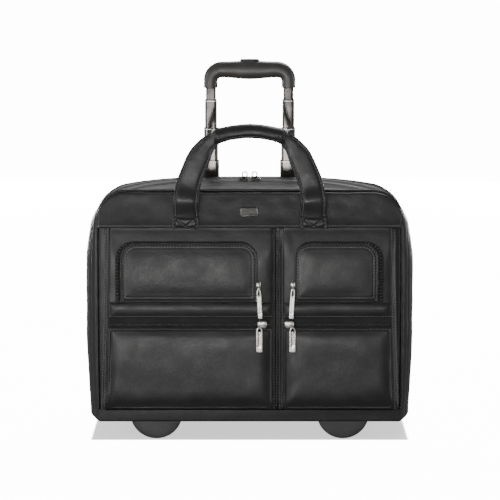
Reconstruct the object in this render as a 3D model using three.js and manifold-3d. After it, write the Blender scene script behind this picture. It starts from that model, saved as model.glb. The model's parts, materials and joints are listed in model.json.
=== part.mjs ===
// Rolling laptop case with a three-stage trolley, two front pockets and a carry handle.
// Millimetres. +X is to the right of a person facing the front, -Y is the front, +Z is up.
// The floor is z = 0, where the two front feet and the two rear wheels stand.

import * as THREE from 'three';
import { mergeVertices } from 'three/addons/utils/BufferGeometryUtils.js';
import Module from 'manifold-3d';

const wasm = await Module();
wasm.setup();

// ---------------------------------------------------------------- driving dimensions

const GAP = 0.4;                  // clearance between pieces that meet
const FAR = 600;                  // half size of a cutting block

const CASE = {
  halfWidth: 199,                 // at the front edge, where the piping runs
  bottom: 26,
  top: 326,
  front: -62,
  back: 62,
  wall: 4,
  topRadius: 38,
  baseRadius: 12,
  bow: 0.8,                       // how far the long edges bow out of a straight line
};

const SWELL = {
  side: 17,                       // how far the stuffed sides stand out past the front edge
  top: 7,
  fullAt: 5,                      // depth where the case is fattest
  backLoss: 0.42,                 // share of the swell that is gone at the back edge
  lowShare: 0.74,                 // share of the side swell at the bottom of the case
  lowRise: 104,                   // height over which the side swell grows to its full size
  narrowFrom: 238,                // above this height the sides come in again
  narrowSpan: 82,
  narrowLoss: 0.58,
  shoulderDrop: 2.6,              // fall of the top at shoulderAt from the middle
  shoulderAt: 101,
  frontRise: 3,                   // the piped front edge stands this much higher than the case top
};

const SPLIT = 41;                 // height where the opening front meets the fixed base
const STRIP_FRONT = -64;          // front face of the strip along the bottom edge
const ZIP_LINE = 4;               // depth of the main zip's centre line
const ZIP_ROW = 6.5;              // width of each half of the main zip

const YOKE = { bottom: 281, faceTop: -70, faceBottom: -76, inset: 3.6 };
const POCKET = { face: -84.5, back: -62.4, low: 41.2, high: 280.6, slopeFrom: 256, wall: 2.5 };
const POCKETS = [
  { side: 'left', x0: -189, x1: 36, flap0: -167.6, flap1: 10.3 },
  { side: 'right', x0: 37.2, x1: 190, flap0: 57.3, flap1: 167 },
];
const FLAP = { low: 184, high: 259, radius: 22, thickness: 1.1 };

const STRAP = { thick: 3, plane: -78.1, pivotY: -80.5, pivotZ: 299, anchorLow: 281.6, anchorHigh: 296.5 };
const GRIP_HALF = 46;             // half length of the carry handle's padded grip
const GRIP_RADIUS = 9.5;

const WHEEL = { x: 124, y: 57.2, radius: 33.3, halfWidth: 11, hubRadius: 23.6, axleRadius: 4 };
const FOOT = { x: 122.6, y: -60, thick: 16, radius: 33.3, flatHalf: 6 };

const TROLLEY = { y: 75, tubeX: 52.2 };
const TUBES = {                   // outer width and depth, wall, lowest and highest point
  outer: { width: 22, depth: 18, wall: 1.1, low: 55, high: 354 },
  stage_c: { width: 19, depth: 15, wall: 0.9, low: 98, high: 398 },
  stage_b: { width: 16.4, depth: 12.4, wall: 0.9, low: 146, high: 436 },
  stage_a: { width: 13.8, depth: 9.8, wall: 0.9, low: 172, high: 451.6 },
};
const GRIP = { halfWidth: 62, top: 488, barLow: 465, legLow: 452, depth: 22, legWidth: 19 };
const RELEASE = { barLow: 473, barHigh: 479, travel: 3, buttonHalf: 13, top: 490.5, rodLow: 420 };
const COVER = { halfWidth: 78, low: 42, high: 322, outer: 87, wall: 2.5 };

// ---------------------------------------------------------------- materials

function finish(color, roughness, metalness = 0) {
  return new THREE.MeshStandardMaterial({ color, roughness, metalness });
}

const LEATHER = finish(0x2b2a2c, 0.42);
const PIPING = finish(0x161617, 0.38);
const LINING = finish(0x3c3d42, 0.9);
const NYLON = finish(0x141416, 0.85);
const BOARD = finish(0x26272a, 0.7);
const PLASTIC = finish(0x3b3a3b, 0.5);
const GRIP_PLASTIC = finish(0x4a4643, 0.45);
const RUBBER = finish(0x1b1b1c, 0.8);
const TUBE_METAL = finish(0x3a3a3d, 0.25, 0.9);
const STEEL = finish(0xa9abae, 0.3, 1);
const NICKEL = finish(0xc2c2c4, 0.25, 1);
const DARK_METAL = finish(0x3f3f42, 0.35, 0.9);

// ---------------------------------------------------------------- solids

function signedVolume(positions, triangles) {
  let sum = 0;
  const a = new THREE.Vector3();
  const b = new THREE.Vector3();
  const c = new THREE.Vector3();
  for (let i = 0; i < triangles.length; i += 3) {
    a.fromArray(positions, triangles[i] * 3);
    b.fromArray(positions, triangles[i + 1] * 3);
    c.fromArray(positions, triangles[i + 2] * 3);
    sum += a.dot(b.cross(c)) / 6;
  }
  return sum;
}

// Turns a closed three.js geometry into a manifold solid whose faces point out.
function solid(geometry) {
  const bare = geometry.clone();
  bare.deleteAttribute('normal');
  bare.deleteAttribute('uv');
  const merged = mergeVertices(bare, 1e-3);
  const positions = merged.attributes.position.array;
  const triangles = [];
  for (let i = 0; i < merged.index.count; i += 3) {
    const [a, b, c] = merged.index.array.slice(i, i + 3);
    if (a !== b && b !== c && c !== a) {
      triangles.push(a, b, c);
    }
  }
  if (signedVolume(positions, triangles) < 0) {
    triangles.reverse();
  }
  const mesh = new wasm.Mesh({
    numProp: 3,
    vertProperties: new Float32Array(positions),
    triVerts: new Uint32Array(triangles),
  });
  return new wasm.Manifold(mesh);
}

function geometryOf(body) {
  const mesh = body.getMesh();
  const geometry = new THREE.BufferGeometry();
  geometry.setAttribute('position', new THREE.BufferAttribute(mesh.vertProperties, 3));
  geometry.setIndex(new THREE.BufferAttribute(mesh.triVerts, 1));
  geometry.computeVertexNormals();
  return geometry;
}

function cut(body, ...tools) {
  return tools.reduce((rest, tool) => rest.subtract(tool), body);
}

function join(body, ...others) {
  return others.reduce((sum, other) => sum.add(other), body);
}

function piece(name, body, material, position = [0, 0, 0]) {
  const mesh = new THREE.Mesh(geometryOf(body), material);
  mesh.name = name;
  mesh.position.set(...position);
  return mesh;
}

function block(x0, x1, y0, y1, z0, z1) {
  const geometry = new THREE.BoxGeometry(x1 - x0, y1 - y0, z1 - z0);
  geometry.translate((x0 + x1) / 2, (y0 + y1) / 2, (z0 + z1) / 2);
  return solid(geometry);
}

const below = (z) => block(-FAR, FAR, -FAR, FAR, -FAR, z);

function extrude(shape, depth, steps, curveSegments) {
  return new THREE.ExtrudeGeometry(shape, { depth, steps, curveSegments, bevelEnabled: false });
}

// An outline drawn in x and z, extruded from depth y0 to y1.
function prismY(shape, y0, y1, steps = 1, curveSegments = 6) {
  const geometry = extrude(shape, y1 - y0, steps, curveSegments);
  geometry.rotateX(Math.PI / 2);
  geometry.translate(0, y1, 0);
  return geometry;
}

// An outline drawn in y and z, extruded from x0 to x1.
function prismX(shape, x0, x1, curveSegments = 6) {
  const geometry = extrude(shape, x1 - x0, 1, curveSegments);
  const toY = new THREE.Vector3(0, 1, 0);
  const toZ = new THREE.Vector3(0, 0, 1);
  const toX = new THREE.Vector3(1, 0, 0);
  geometry.applyMatrix4(new THREE.Matrix4().makeBasis(toY, toZ, toX));
  geometry.translate(x0, 0, 0);
  return geometry;
}

// An outline drawn in x and y, extruded from z0 to z1.
function prismZ(shape, z0, z1, curveSegments = 4) {
  const geometry = extrude(shape, z1 - z0, 1, curveSegments);
  geometry.translate(0, 0, z0);
  return geometry;
}

// A profile of [radius, x] points turned about the X axis.
function turned(profile, segments) {
  const points = profile.map(([radius, x]) => new THREE.Vector2(radius, x));
  const geometry = new THREE.LatheGeometry(points, segments);
  geometry.rotateZ(-Math.PI / 2);
  return geometry;
}

// ---------------------------------------------------------------- outlines

function polygon(points) {
  return new THREE.Shape(points.map(([u, v]) => new THREE.Vector2(u, v)));
}

function rounded(width, height, radius, Kind = THREE.Shape, u = 0, v = 0) {
  const a = width / 2;
  const b = height / 2;
  const path = new Kind();
  path.moveTo(u - a + radius, v - b);
  path.lineTo(u + a - radius, v - b);
  path.absarc(u + a - radius, v - b + radius, radius, -Math.PI / 2, 0);
  path.lineTo(u + a, v + b - radius);
  path.absarc(u + a - radius, v + b - radius, radius, 0, Math.PI / 2);
  path.lineTo(u - a + radius, v + b);
  path.absarc(u - a + radius, v + b - radius, radius, Math.PI / 2, Math.PI);
  path.lineTo(u - a, v - b + radius);
  path.absarc(u - a + radius, v - b + radius, radius, Math.PI, Math.PI * 1.5);
  return path;
}

// The front view of the case: a flat bottom, soft top corners and slightly bowed edges.
function caseOutline(inset, Kind = THREE.Shape) {
  const w = CASE.halfWidth - inset;
  const low = CASE.bottom + inset;
  const high = CASE.top - inset;
  const middle = (low + high) / 2;
  const r = CASE.topRadius - inset;
  const q = CASE.baseRadius - inset;
  const path = new Kind();
  path.moveTo(-w + q, low);
  path.lineTo(w - q, low);
  path.absarc(w - q, low + q, q, -Math.PI / 2, 0);
  path.quadraticCurveTo(w + 2 * CASE.bow, middle, w, high - r);
  path.absarc(w - r, high - r, r, 0, Math.PI / 2);
  path.quadraticCurveTo(0, high + 2 * CASE.bow, -w + r, high);
  path.absarc(-w + r, high - r, r, Math.PI / 2, Math.PI);
  path.quadraticCurveTo(-w - 2 * CASE.bow, middle, -w, low + q);
  path.absarc(-w + q, low + q, q, Math.PI, Math.PI * 1.5);
  return path;
}

// ---------------------------------------------------------------- the stuffed shape of the case

function swellAt(y) {
  const rise = THREE.MathUtils.clamp((y - CASE.front) / (SWELL.fullAt - CASE.front), 0, 1);
  const fall = THREE.MathUtils.clamp((y - SWELL.fullAt) / (CASE.back - SWELL.fullAt), 0, 1);
  return 1 - (1 - rise) ** 2.2 - SWELL.backLoss * fall ** 2;
}

function swollenPoint(x, y, z) {
  const amount = swellAt(y);
  const climb = THREE.MathUtils.smoothstep(z, CASE.bottom, CASE.bottom + SWELL.lowRise);
  const narrowing = THREE.MathUtils.clamp((z - SWELL.narrowFrom) / SWELL.narrowSpan, 0, 1);
  const sideShare = (SWELL.lowShare + (1 - SWELL.lowShare) * climb) * (1 - SWELL.narrowLoss * narrowing);
  const height = (z - CASE.bottom) / (CASE.top - CASE.bottom);
  const shoulder = SWELL.shoulderDrop * (Math.abs(x) / SWELL.shoulderAt) ** 3.4;
  const edgeRise = (1 - amount) * SWELL.frontRise * Math.max(height, 0) ** 6;
  return {
    x: x * (1 + (SWELL.side / CASE.halfWidth) * amount * sideShare),
    z: z + amount * (SWELL.top * height ** 2 - shoulder * height ** 6) + edgeRise,
  };
}

function swollen(shape, y0, y1, steps) {
  const geometry = prismY(shape, y0, y1, steps);
  const position = geometry.attributes.position;
  for (let i = 0; i < position.count; i += 1) {
    const y = position.getY(i);
    const moved = swollenPoint(position.getX(i), y, position.getZ(i));
    position.setXYZ(i, moved.x, y, moved.z);
  }
  return solid(geometry);
}

// A thin band that follows the case's outline, between two distances in from its surface.
function swollenBand(outside, inside, y0, y1) {
  const over = 1;
  const outer = swollen(caseOutline(outside), y0, y1, 1);
  const inner = swollen(caseOutline(inside), y0 - over, y1 + over, 1);
  return cut(outer, inner);
}

// ---------------------------------------------------------------- fixed part of the case

const WELL = { x0: 106.5, x1: 141.5, y: 16, top: 74.5 };

function wheelWells() {
  const left = block(-WELL.x1, -WELL.x0, WELL.y, FAR, -FAR, WELL.top);
  const right = block(WELL.x0, WELL.x1, WELL.y, FAR, -FAR, WELL.top);
  return [left, right];
}

function rearShell() {
  const start = ZIP_LINE + ZIP_ROW + GAP;
  const outside = swollen(caseOutline(0), start, CASE.back, 3);
  const inside = swollen(caseOutline(CASE.wall), start - 5, CASE.back - CASE.wall, 3);
  return piece('rear_shell', cut(outside, inside, ...wheelWells()), LEATHER);
}

function baseCover() {
  const end = ZIP_LINE + ZIP_ROW;
  const outside = swollen(caseOutline(0), STRIP_FRONT, end, 4);
  const inside = swollen(caseOutline(CASE.wall), STRIP_FRONT + CASE.wall, end + 5, 4);
  const above = block(-FAR, FAR, -FAR, FAR, SPLIT - GAP, FAR);
  return piece('base_cover', cut(outside, inside, above), LEATHER);
}

function basePlate() {
  const low = CASE.bottom + CASE.wall + GAP;
  const board = block(-184, 184, CASE.front + 3, CASE.back - CASE.wall - 1, low, low + 3);
  const wells = [-1, 1].map((s) => block(s * 124 - 20, s * 124 + 20, WELL.y - 2, FAR, -FAR, FAR));
  return piece('base_plate', cut(board, ...wells), BOARD);
}

// The cord stops at the wheel wells, so it has no run along the bottom.
function rearPiping() {
  const ring = swollenBand(-1, 3, CASE.back + GAP, CASE.back + 2.6);
  const bottom = block(-WELL.x1, WELL.x1, -FAR, FAR, -FAR, WELL.top);
  return piece('rear_piping', cut(ring, bottom), PIPING);
}

function zipRow(name, y0) {
  const ring = swollenBand(0.6, 3.2, y0, y0 + ZIP_ROW - GAP / 2);
  return piece(name, cut(ring, below(SPLIT + GAP)), NYLON);
}

function laptopSleeve() {
  const pad = block(-184, 184, 33, 57.4, 77, 300);
  const slot = block(-179, 179, 38, 52.4, 82, FAR);
  return piece('laptop_sleeve', cut(pad, slot), LINING);
}

function frontFoot(side, x) {
  const shape = new THREE.Shape();
  const lift = Math.sqrt(FOOT.radius ** 2 - FOOT.flatHalf ** 2);
  const chord = CASE.bottom - GAP - lift;
  const chordHalf = Math.sqrt(FOOT.radius ** 2 - chord ** 2);
  const topAngle = Math.atan2(chord, chordHalf);
  const flatAngle = Math.atan2(-lift, FOOT.flatHalf);
  shape.moveTo(-FOOT.flatHalf, 0);
  shape.lineTo(FOOT.flatHalf, 0);
  shape.absarc(0, lift, FOOT.radius, flatAngle, topAngle);
  shape.lineTo(-chordHalf, CASE.bottom - GAP);
  shape.absarc(0, lift, FOOT.radius, Math.PI - topAngle, Math.PI - flatAngle);
  const body = solid(prismY(shape, 0, FOOT.thick, 1, 10));
  return piece(`foot_${side}`, body, PLASTIC, [x, FOOT.y, 0]);
}

// ---------------------------------------------------------------- wheels

function wheelHousing(side) {
  const y0 = WELL.y + GAP - WHEEL.y;
  const lift = WHEEL.radius;
  const profile = polygon([
    [y0, CASE.bottom - lift], [12, CASE.bottom - lift - 3], [12, 4],
    [7, WELL.top - GAP - lift], [y0, WELL.top - GAP - lift],
  ]);
  const half = (WELL.x1 - WELL.x0) / 2 - GAP;
  const shell = solid(prismX(profile, -half, half));
  const clear = WHEEL.halfWidth + 2;
  const well = solid(turned([[0, -clear], [WHEEL.radius + 2.7, -clear], [WHEEL.radius + 2.7, clear], [0, clear]], 24));
  const bore = WHEEL.axleRadius + GAP;
  const hole = solid(turned([[0, -FAR], [bore, -FAR], [bore, FAR], [0, FAR]], 12));
  return piece(`wheel_housing_${side}`, cut(shell, well, hole), PLASTIC);
}

function axle(side) {
  const half = (WELL.x1 - WELL.x0) / 2 - 1;
  const radius = WHEEL.axleRadius;
  const body = solid(turned([[0, -half], [radius, -half], [radius, half], [0, half]], 12));
  return piece(`axle_${side}`, body, STEEL);
}

function tyre(side) {
  const w = WHEEL.halfWidth;
  const bore = WHEEL.hubRadius + GAP;
  const profile = [
    [bore, -w], [WHEEL.radius - 3, -w], [WHEEL.radius, -w + 4],
    [WHEEL.radius, w - 4], [WHEEL.radius - 3, w], [bore, w], [bore, -w],
  ];
  return piece(`tyre_${side}`, solid(turned(profile, 24)), RUBBER);
}

function hub(side) {
  const bore = WHEEL.axleRadius + GAP;
  const profile = [
    [bore, -9.5], [9, -9.5], [11, -6], [19, -6], [20.5, -9.5], [WHEEL.hubRadius, -9.5],
    [WHEEL.hubRadius, 9.5], [20.5, 9.5], [19, 6], [11, 6], [9, 9.5], [bore, 9.5], [bore, -9.5],
  ];
  return piece(`hub_${side}`, solid(turned(profile, 24)), PLASTIC);
}

function wheelSet(side, x) {
  const group = new THREE.Group();
  group.position.set(x, WHEEL.y, WHEEL.radius);
  group.add(wheelHousing(side), axle(side), tyre(side), hub(side));
  return group;
}

// ---------------------------------------------------------------- trolley

function tube(name, size, x) {
  const shape = rounded(size.width, size.depth, 4);
  shape.holes.push(rounded(size.width - 2 * size.wall, size.depth - 2 * size.wall, 3.2, THREE.Path));
  return piece(name, solid(prismZ(shape, size.low, size.high)), TUBE_METAL, [x, TROLLEY.y, 0]);
}

function bracket(name, z0, z1, pierced) {
  const width = 2 * (COVER.halfWidth - COVER.wall - GAP);
  const depth = COVER.outer - COVER.wall - GAP - (CASE.back + 1);
  const middle = CASE.back + 1 + depth / 2;
  const plate = solid(prismZ(rounded(width, depth, 8, THREE.Shape, 0, middle), z0, z1));
  if (!pierced) {
    return piece(name, plate, PLASTIC);
  }
  const holes = [-TROLLEY.tubeX, TROLLEY.tubeX].map((x) => {
    const size = TUBES.outer;
    const hole = rounded(size.width + 2 * GAP, size.depth + 2 * GAP, 4, THREE.Shape, x, TROLLEY.y);
    return solid(prismZ(hole, z0 - 1, z1 + 1));
  });
  return piece(name, cut(plate, ...holes), PLASTIC);
}

// A fabric channel over the tubes, open towards the back of the case and at both ends.
function trolleyCover() {
  const depth = COVER.outer - CASE.back;
  const outside = solid(prismZ(rounded(2 * COVER.halfWidth, 2 * depth, 10, THREE.Shape, 0, CASE.back), 0, 1));
  const inner = rounded(2 * (COVER.halfWidth - COVER.wall), 2 * (depth - COVER.wall), 7.5,
    THREE.Shape, 0, CASE.back);
  const inside = solid(prismZ(inner, -1, 2));
  const front = block(-FAR, FAR, -FAR, CASE.back + GAP, -FAR, FAR);
  const ring = cut(outside, inside, front);
  const tall = ring.scale([1, 1, COVER.high - COVER.low]);
  return piece('trolley_cover', tall, NYLON, [0, 0, COVER.low]);
}

function gripOutline() {
  const w = GRIP.halfWidth;
  const inner = w - GRIP.legWidth;
  const corner = GRIP.barLow + 1;
  const shape = new THREE.Shape();
  shape.moveTo(inner, GRIP.legLow);
  shape.lineTo(w, GRIP.legLow);
  shape.lineTo(w, GRIP.top - 20);
  shape.absarc(w - 20, GRIP.top - 20, 20, 0, Math.PI / 2);
  shape.lineTo(-w + 20, GRIP.top);
  shape.absarc(-w + 20, GRIP.top - 20, 20, Math.PI / 2, Math.PI);
  shape.lineTo(-w, GRIP.legLow);
  shape.lineTo(-inner, GRIP.legLow);
  shape.lineTo(-inner, corner - 7);
  shape.absarc(-inner + 7, corner - 7, 7, Math.PI, Math.PI / 2, true);
  shape.quadraticCurveTo(0, corner - 4, inner - 7, corner);
  shape.absarc(inner - 7, corner - 7, 7, Math.PI / 2, 0, true);
  return shape;
}

// The U-shaped handle, hollow where the release bar runs across it and down its legs.
function trolleyGrip() {
  const half = GRIP.depth / 2;
  const body = solid(prismY(gripOutline(), TROLLEY.y - half, TROLLEY.y + half));
  const y0 = TROLLEY.y - 3.5;
  const y1 = TROLLEY.y + 3.5;
  const reach = TROLLEY.tubeX + 4.5;
  const floor = RELEASE.barLow - RELEASE.travel - GAP;
  const channel = block(-reach, reach, y0, y1, floor, RELEASE.barHigh + GAP);
  const shafts = [-1, 1].map((s) => {
    const x = s * TROLLEY.tubeX;
    return block(x - 4, x + 4, y0, y1, 0, RELEASE.barHigh);
  });
  const mouth = RELEASE.buttonHalf + GAP;
  const seat = RELEASE.barHigh - RELEASE.travel;
  const well = block(-mouth, mouth, TROLLEY.y - 7, TROLLEY.y + 7, seat, FAR);
  return piece('trolley_grip', cut(body, channel, ...shafts, well), GRIP_PLASTIC);
}

function releaseBar() {
  const y0 = TROLLEY.y - 2.5;
  const y1 = TROLLEY.y + 2.5;
  const reach = TROLLEY.tubeX + 3;
  const bar = block(-reach, reach, y0, y1, RELEASE.barLow, RELEASE.barHigh);
  const rods = [-1, 1].map((s) => {
    const x = s * TROLLEY.tubeX;
    return block(x - 3, x + 3, y0, y1, RELEASE.rodLow, RELEASE.barHigh - 1);
  });
  return piece('release_bar', join(bar, ...rods), STEEL);
}

function releaseButton() {
  const half = RELEASE.buttonHalf;
  const shape = rounded(2 * half, RELEASE.top - RELEASE.barHigh - GAP, 2.2, THREE.Shape,
    0, (RELEASE.top + RELEASE.barHigh + GAP) / 2);
  const body = solid(prismY(shape, TROLLEY.y - 6.4, TROLLEY.y + 6.4, 1, 3));
  return piece('release_button', body, PLASTIC);
}

function trolley() {
  const group = new THREE.Group();
  for (const [side, x] of [['left', -TROLLEY.tubeX], ['right', TROLLEY.tubeX]]) {
    for (const [stage, size] of Object.entries(TUBES)) {
      group.add(tube(`${stage}_tube_${side}`, size, x));
    }
  }
  group.add(bracket('lower_bracket', COVER.low + 1, TUBES.outer.low - GAP, false));
  group.add(bracket('upper_bracket', COVER.high - 20, COVER.high - 8, true));
  group.add(trolleyCover(), trolleyGrip(), releaseBar(), releaseButton());
  return group;
}

// ---------------------------------------------------------------- opening front

function frontShell() {
  const end = ZIP_LINE - ZIP_ROW - GAP;
  const outside = swollen(caseOutline(0), CASE.front, end, 4);
  const inside = swollen(caseOutline(CASE.wall), CASE.front + CASE.wall, end + 5, 4);
  return piece('front_shell', cut(outside, inside, below(SPLIT)), LEATHER);
}

function frontPiping() {
  const ring = swollenBand(-1, 3, CASE.front - 3.8, CASE.front - GAP);
  return piece('front_piping', cut(ring, below(SPLIT + GAP)), PIPING);
}

function yoke() {
  const back = CASE.front - GAP;
  const wedge = polygon([
    [back, YOKE.bottom], [YOKE.faceBottom + 1, YOKE.bottom], [YOKE.faceBottom, YOKE.bottom + 2],
    [YOKE.faceTop, CASE.top - 4], [YOKE.faceTop + 3, CASE.top], [back, CASE.top],
  ]);
  const band = solid(prismX(wedge, -CASE.halfWidth, CASE.halfWidth));
  const outline = solid(prismY(caseOutline(YOKE.inset), YOKE.faceBottom - 1, back));
  return piece('yoke', band.intersect(outline), LEATHER);
}

function pocketProfile(inset) {
  const face = POCKET.face + inset;
  const low = POCKET.low + inset;
  const high = POCKET.high - inset;
  const back = inset > 0 ? POCKET.back + 2 : POCKET.back;
  return polygon([
    [back, low], [face + 12, low], [face + 4, low + 3], [face, low + 12],
    [face, POCKET.slopeFrom], [face + 8.5, high], [back, high],
  ]);
}

function pocket({ side, x0, x1 }) {
  const wall = POCKET.wall;
  const outside = solid(prismX(pocketProfile(0), x0, x1));
  const inside = solid(prismX(pocketProfile(wall), x0 + wall, x1 - wall));
  return piece(`pocket_${side}`, cut(outside, inside), LEATHER);
}

function pocketFlap({ side, flap0, flap1 }) {
  const r = FLAP.radius;
  const shape = new THREE.Shape();
  shape.moveTo(flap0, FLAP.low);
  shape.lineTo(flap1, FLAP.low);
  shape.lineTo(flap1, FLAP.high - r);
  shape.absarc(flap1 - r, FLAP.high - r, r, 0, Math.PI / 2);
  shape.lineTo(flap0 + r, FLAP.high);
  shape.absarc(flap0 + r, FLAP.high - r, r, Math.PI / 2, Math.PI);
  const front = POCKET.face - GAP - FLAP.thickness;
  const body = solid(prismY(shape, front, POCKET.face - GAP));
  const slope = block(-FAR, FAR, -FAR, FAR, POCKET.slopeFrom + 3, FAR);
  return piece(`pocket_flap_${side}`, cut(body, slope), LEATHER);
}

function organiser() {
  const panel = block(-172, 172, CASE.front + CASE.wall + GAP, CASE.front + CASE.wall + 3, 58, 262);
  return piece('organiser_panel', panel, LINING);
}

function badge() {
  const body = solid(prismY(rounded(24, 13, 2.4), -0.7, 0.7, 1, 3));
  const mesh = piece('badge', body, DARK_METAL);
  const slope = (YOKE.faceTop - YOKE.faceBottom) / (CASE.top - 4 - YOKE.bottom - 2);
  const z = 300;
  mesh.rotation.x = -Math.atan(slope);
  mesh.position.set(0, YOKE.faceBottom + slope * (z - YOKE.bottom - 2) - 1.2, z);
  return mesh;
}

// ---------------------------------------------------------------- carry handle

function strapCurve(s) {
  return new THREE.CatmullRomCurve3([
    new THREE.Vector3(s * 85, 0, 280),
    new THREE.Vector3(s * 84, 0, 317),
    new THREE.Vector3(s * 78, 0, 342),
    new THREE.Vector3(s * 67.5, 0, 368),
    new THREE.Vector3(s * 57, 0, 386.5),
    new THREE.Vector3(s * 44, 0, 399),
  ]);
}

function strapWidth(t) {
  return THREE.MathUtils.lerp(36, 27, t) - 11 * THREE.MathUtils.smoothstep(t, 0.7, 1);
}

function strapBand(s, y0, y1) {
  const curve = strapCurve(s);
  const outer = [];
  const inner = [];
  const count = 12;
  for (let i = 0; i <= count; i += 1) {
    const t = i / count;
    const point = curve.getPointAt(t);
    const along = curve.getTangentAt(t);
    const half = strapWidth(t) / 2;
    outer.push([point.x + along.z * half, point.z - along.x * half]);
    inner.push([point.x - along.z * half, point.z + along.x * half]);
  }
  return solid(prismY(polygon([...outer, ...inner.reverse()]), y0, y1));
}

function strap(side, s) {
  const half = STRAP.thick / 2;
  const band = strapBand(s, STRAP.plane - half, STRAP.plane + half);
  const inside = block(-GRIP_HALF - GAP, GRIP_HALF + GAP, -FAR, FAR, -FAR, FAR);
  return piece(`strap_${side}`, cut(band, below(STRAP.pivotZ + 1), inside), LEATHER);
}

function strapAnchor(side, x) {
  const half = STRAP.thick / 2;
  const body = block(-18, 18, STRAP.plane - half, STRAP.plane + half, STRAP.anchorLow, STRAP.anchorHigh);
  return piece(`strap_anchor_${side}`, body, LEATHER, [x, 0, 0]);
}

function carryGrip() {
  const path = new THREE.QuadraticBezierCurve3(
    new THREE.Vector3(-GRIP_HALF, STRAP.plane, 399),
    new THREE.Vector3(0, STRAP.plane, 415.6),
    new THREE.Vector3(GRIP_HALF, STRAP.plane, 399),
  );
  const section = new THREE.Shape();
  section.absarc(0, 0, GRIP_RADIUS, 0, Math.PI * 2);
  const options = { steps: 8, curveSegments: 6, bevelEnabled: false, extrudePath: path };
  const tubeBody = solid(new THREE.ExtrudeGeometry(section, options));
  const ends = [-1, 1].map((s) => {
    const x = s * (GRIP_HALF + FAR / 2);
    return block(x - FAR / 2, x + FAR / 2, -FAR, FAR, -FAR, FAR);
  });
  return piece('carry_grip', cut(tubeBody, ...ends), LEATHER);
}

// ---------------------------------------------------------------- zip sliders and pulls

const SLIDER_BACK = -86.4;
const SLIDER_FRONT = -90;
const PULL = { top: 4.3, lower: 4.1, thick: 1.8, taper: 18, pivotY: -89.6 };

function pocketSlider(name, x, z, width, height) {
  const body = solid(prismY(rounded(width, height, 2), SLIDER_FRONT, SLIDER_BACK, 1, 2));
  return piece(name, body, NICKEL, [x, 0, z]);
}

// A tab with an eye at the top, hanging from its pivot at the origin.
function pocketPull(name, x, z, length) {
  const shape = new THREE.Shape();
  shape.moveTo(-PULL.lower, -length);
  shape.lineTo(PULL.lower, -length);
  shape.lineTo(PULL.lower, -length + PULL.taper);
  shape.lineTo(PULL.top - 1, -4);
  shape.lineTo(2, 0.8);
  shape.lineTo(-2, 0.8);
  shape.lineTo(-PULL.top + 1, -4);
  shape.lineTo(-PULL.lower, -length + PULL.taper);
  shape.holes.push(rounded(2.6, 3.4, 1.1, THREE.Path, 0, -3.4));
  const body = solid(prismY(shape, -PULL.thick / 2, PULL.thick / 2, 1, 2));
  return piece(name, body, NICKEL, [x, PULL.pivotY, z]);
}

const POCKET_ZIPS = [
  { name: 'lower_left', x: 16.6, z: 156.5, pullX: 12.6, width: 12, height: 10, length: 30 },
  { name: 'lower_right', x: 51.4, z: 156.5, pullX: 55.6, width: 12, height: 10, length: 30 },
  { name: 'upper_left', x: 11.6, z: 208.5, pullX: 11.6, width: 9, height: 12, length: 37 },
  { name: 'upper_right', x: 56, z: 208.5, pullX: 56, width: 9, height: 12, length: 37 },
];

function pocketZips() {
  const group = new THREE.Group();
  for (const zip of POCKET_ZIPS) {
    const pivot = zip.z - zip.height / 2 - 1.4;
    group.add(pocketSlider(`slider_${zip.name}`, zip.x, zip.z, zip.width, zip.height));
    group.add(pocketPull(`pull_${zip.name}`, zip.pullX, pivot, zip.length));
  }
  return group;
}

const MAIN_PULL_LEAN = THREE.MathUtils.degToRad(62);

// The ring leans back over the rear half of the case, where its slider's bridge holds it.
function mainSlider(side, s) {
  const top = swollenPoint(8, ZIP_LINE, CASE.top).z + CASE.bow + 1;
  const group = new THREE.Group();
  group.position.set(s * 8.2, ZIP_LINE + 0.5, top);
  const outline = rounded(13, 9, 2.5);
  group.add(piece(`slider_main_${side}`, solid(prismZ(outline, 0, 3.4, 2)), DARK_METAL));
  const ring = rounded(9, 12, 4, THREE.Shape, 0, 6);
  ring.holes.push(rounded(5, 8, 2.2, THREE.Path, 0, 6));
  const loop = piece(`pull_main_${side}`, solid(prismY(ring, -0.9, 0.9, 1, 3)), DARK_METAL);
  loop.position.set(-s * 1.7, 3, 5);
  loop.rotation.x = -MAIN_PULL_LEAN;
  group.add(loop);
  return group;
}

// ---------------------------------------------------------------- assembly

function caseBack() {
  const group = new THREE.Group();
  group.add(rearShell(), baseCover(), basePlate(), rearPiping(), laptopSleeve());
  group.add(zipRow('main_zip_rear', ZIP_LINE + GAP / 2));
  group.add(frontFoot('left', -FOOT.x), frontFoot('right', FOOT.x));
  group.add(wheelSet('left', -WHEEL.x), wheelSet('right', WHEEL.x));
  return group;
}

function caseFront() {
  const group = new THREE.Group();
  group.add(frontShell(), frontPiping(), yoke(), organiser(), badge());
  group.add(zipRow('main_zip_front', ZIP_LINE - ZIP_ROW));
  group.add(...POCKETS.map(pocket), ...POCKETS.map(pocketFlap));
  group.add(strapAnchor('left', -85), strapAnchor('right', 85));
  return group;
}

function carryHandle() {
  const group = new THREE.Group();
  group.add(carryGrip(), strap('left', -1), strap('right', 1));
  return group;
}

const laptopCase = new THREE.Group();
laptopCase.add(caseBack(), trolley(), caseFront(), carryHandle(), pocketZips());
laptopCase.add(mainSlider('left', -1), mainSlider('right', 1));

export default laptopCase;
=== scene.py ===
"""Looks of the rolling laptop case: leather, zips, stitching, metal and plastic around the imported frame."""

import json
import math

import bmesh
import bpy
from mathutils import Matrix, Vector, noise
from mathutils.bvhtree import BVHTree


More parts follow.
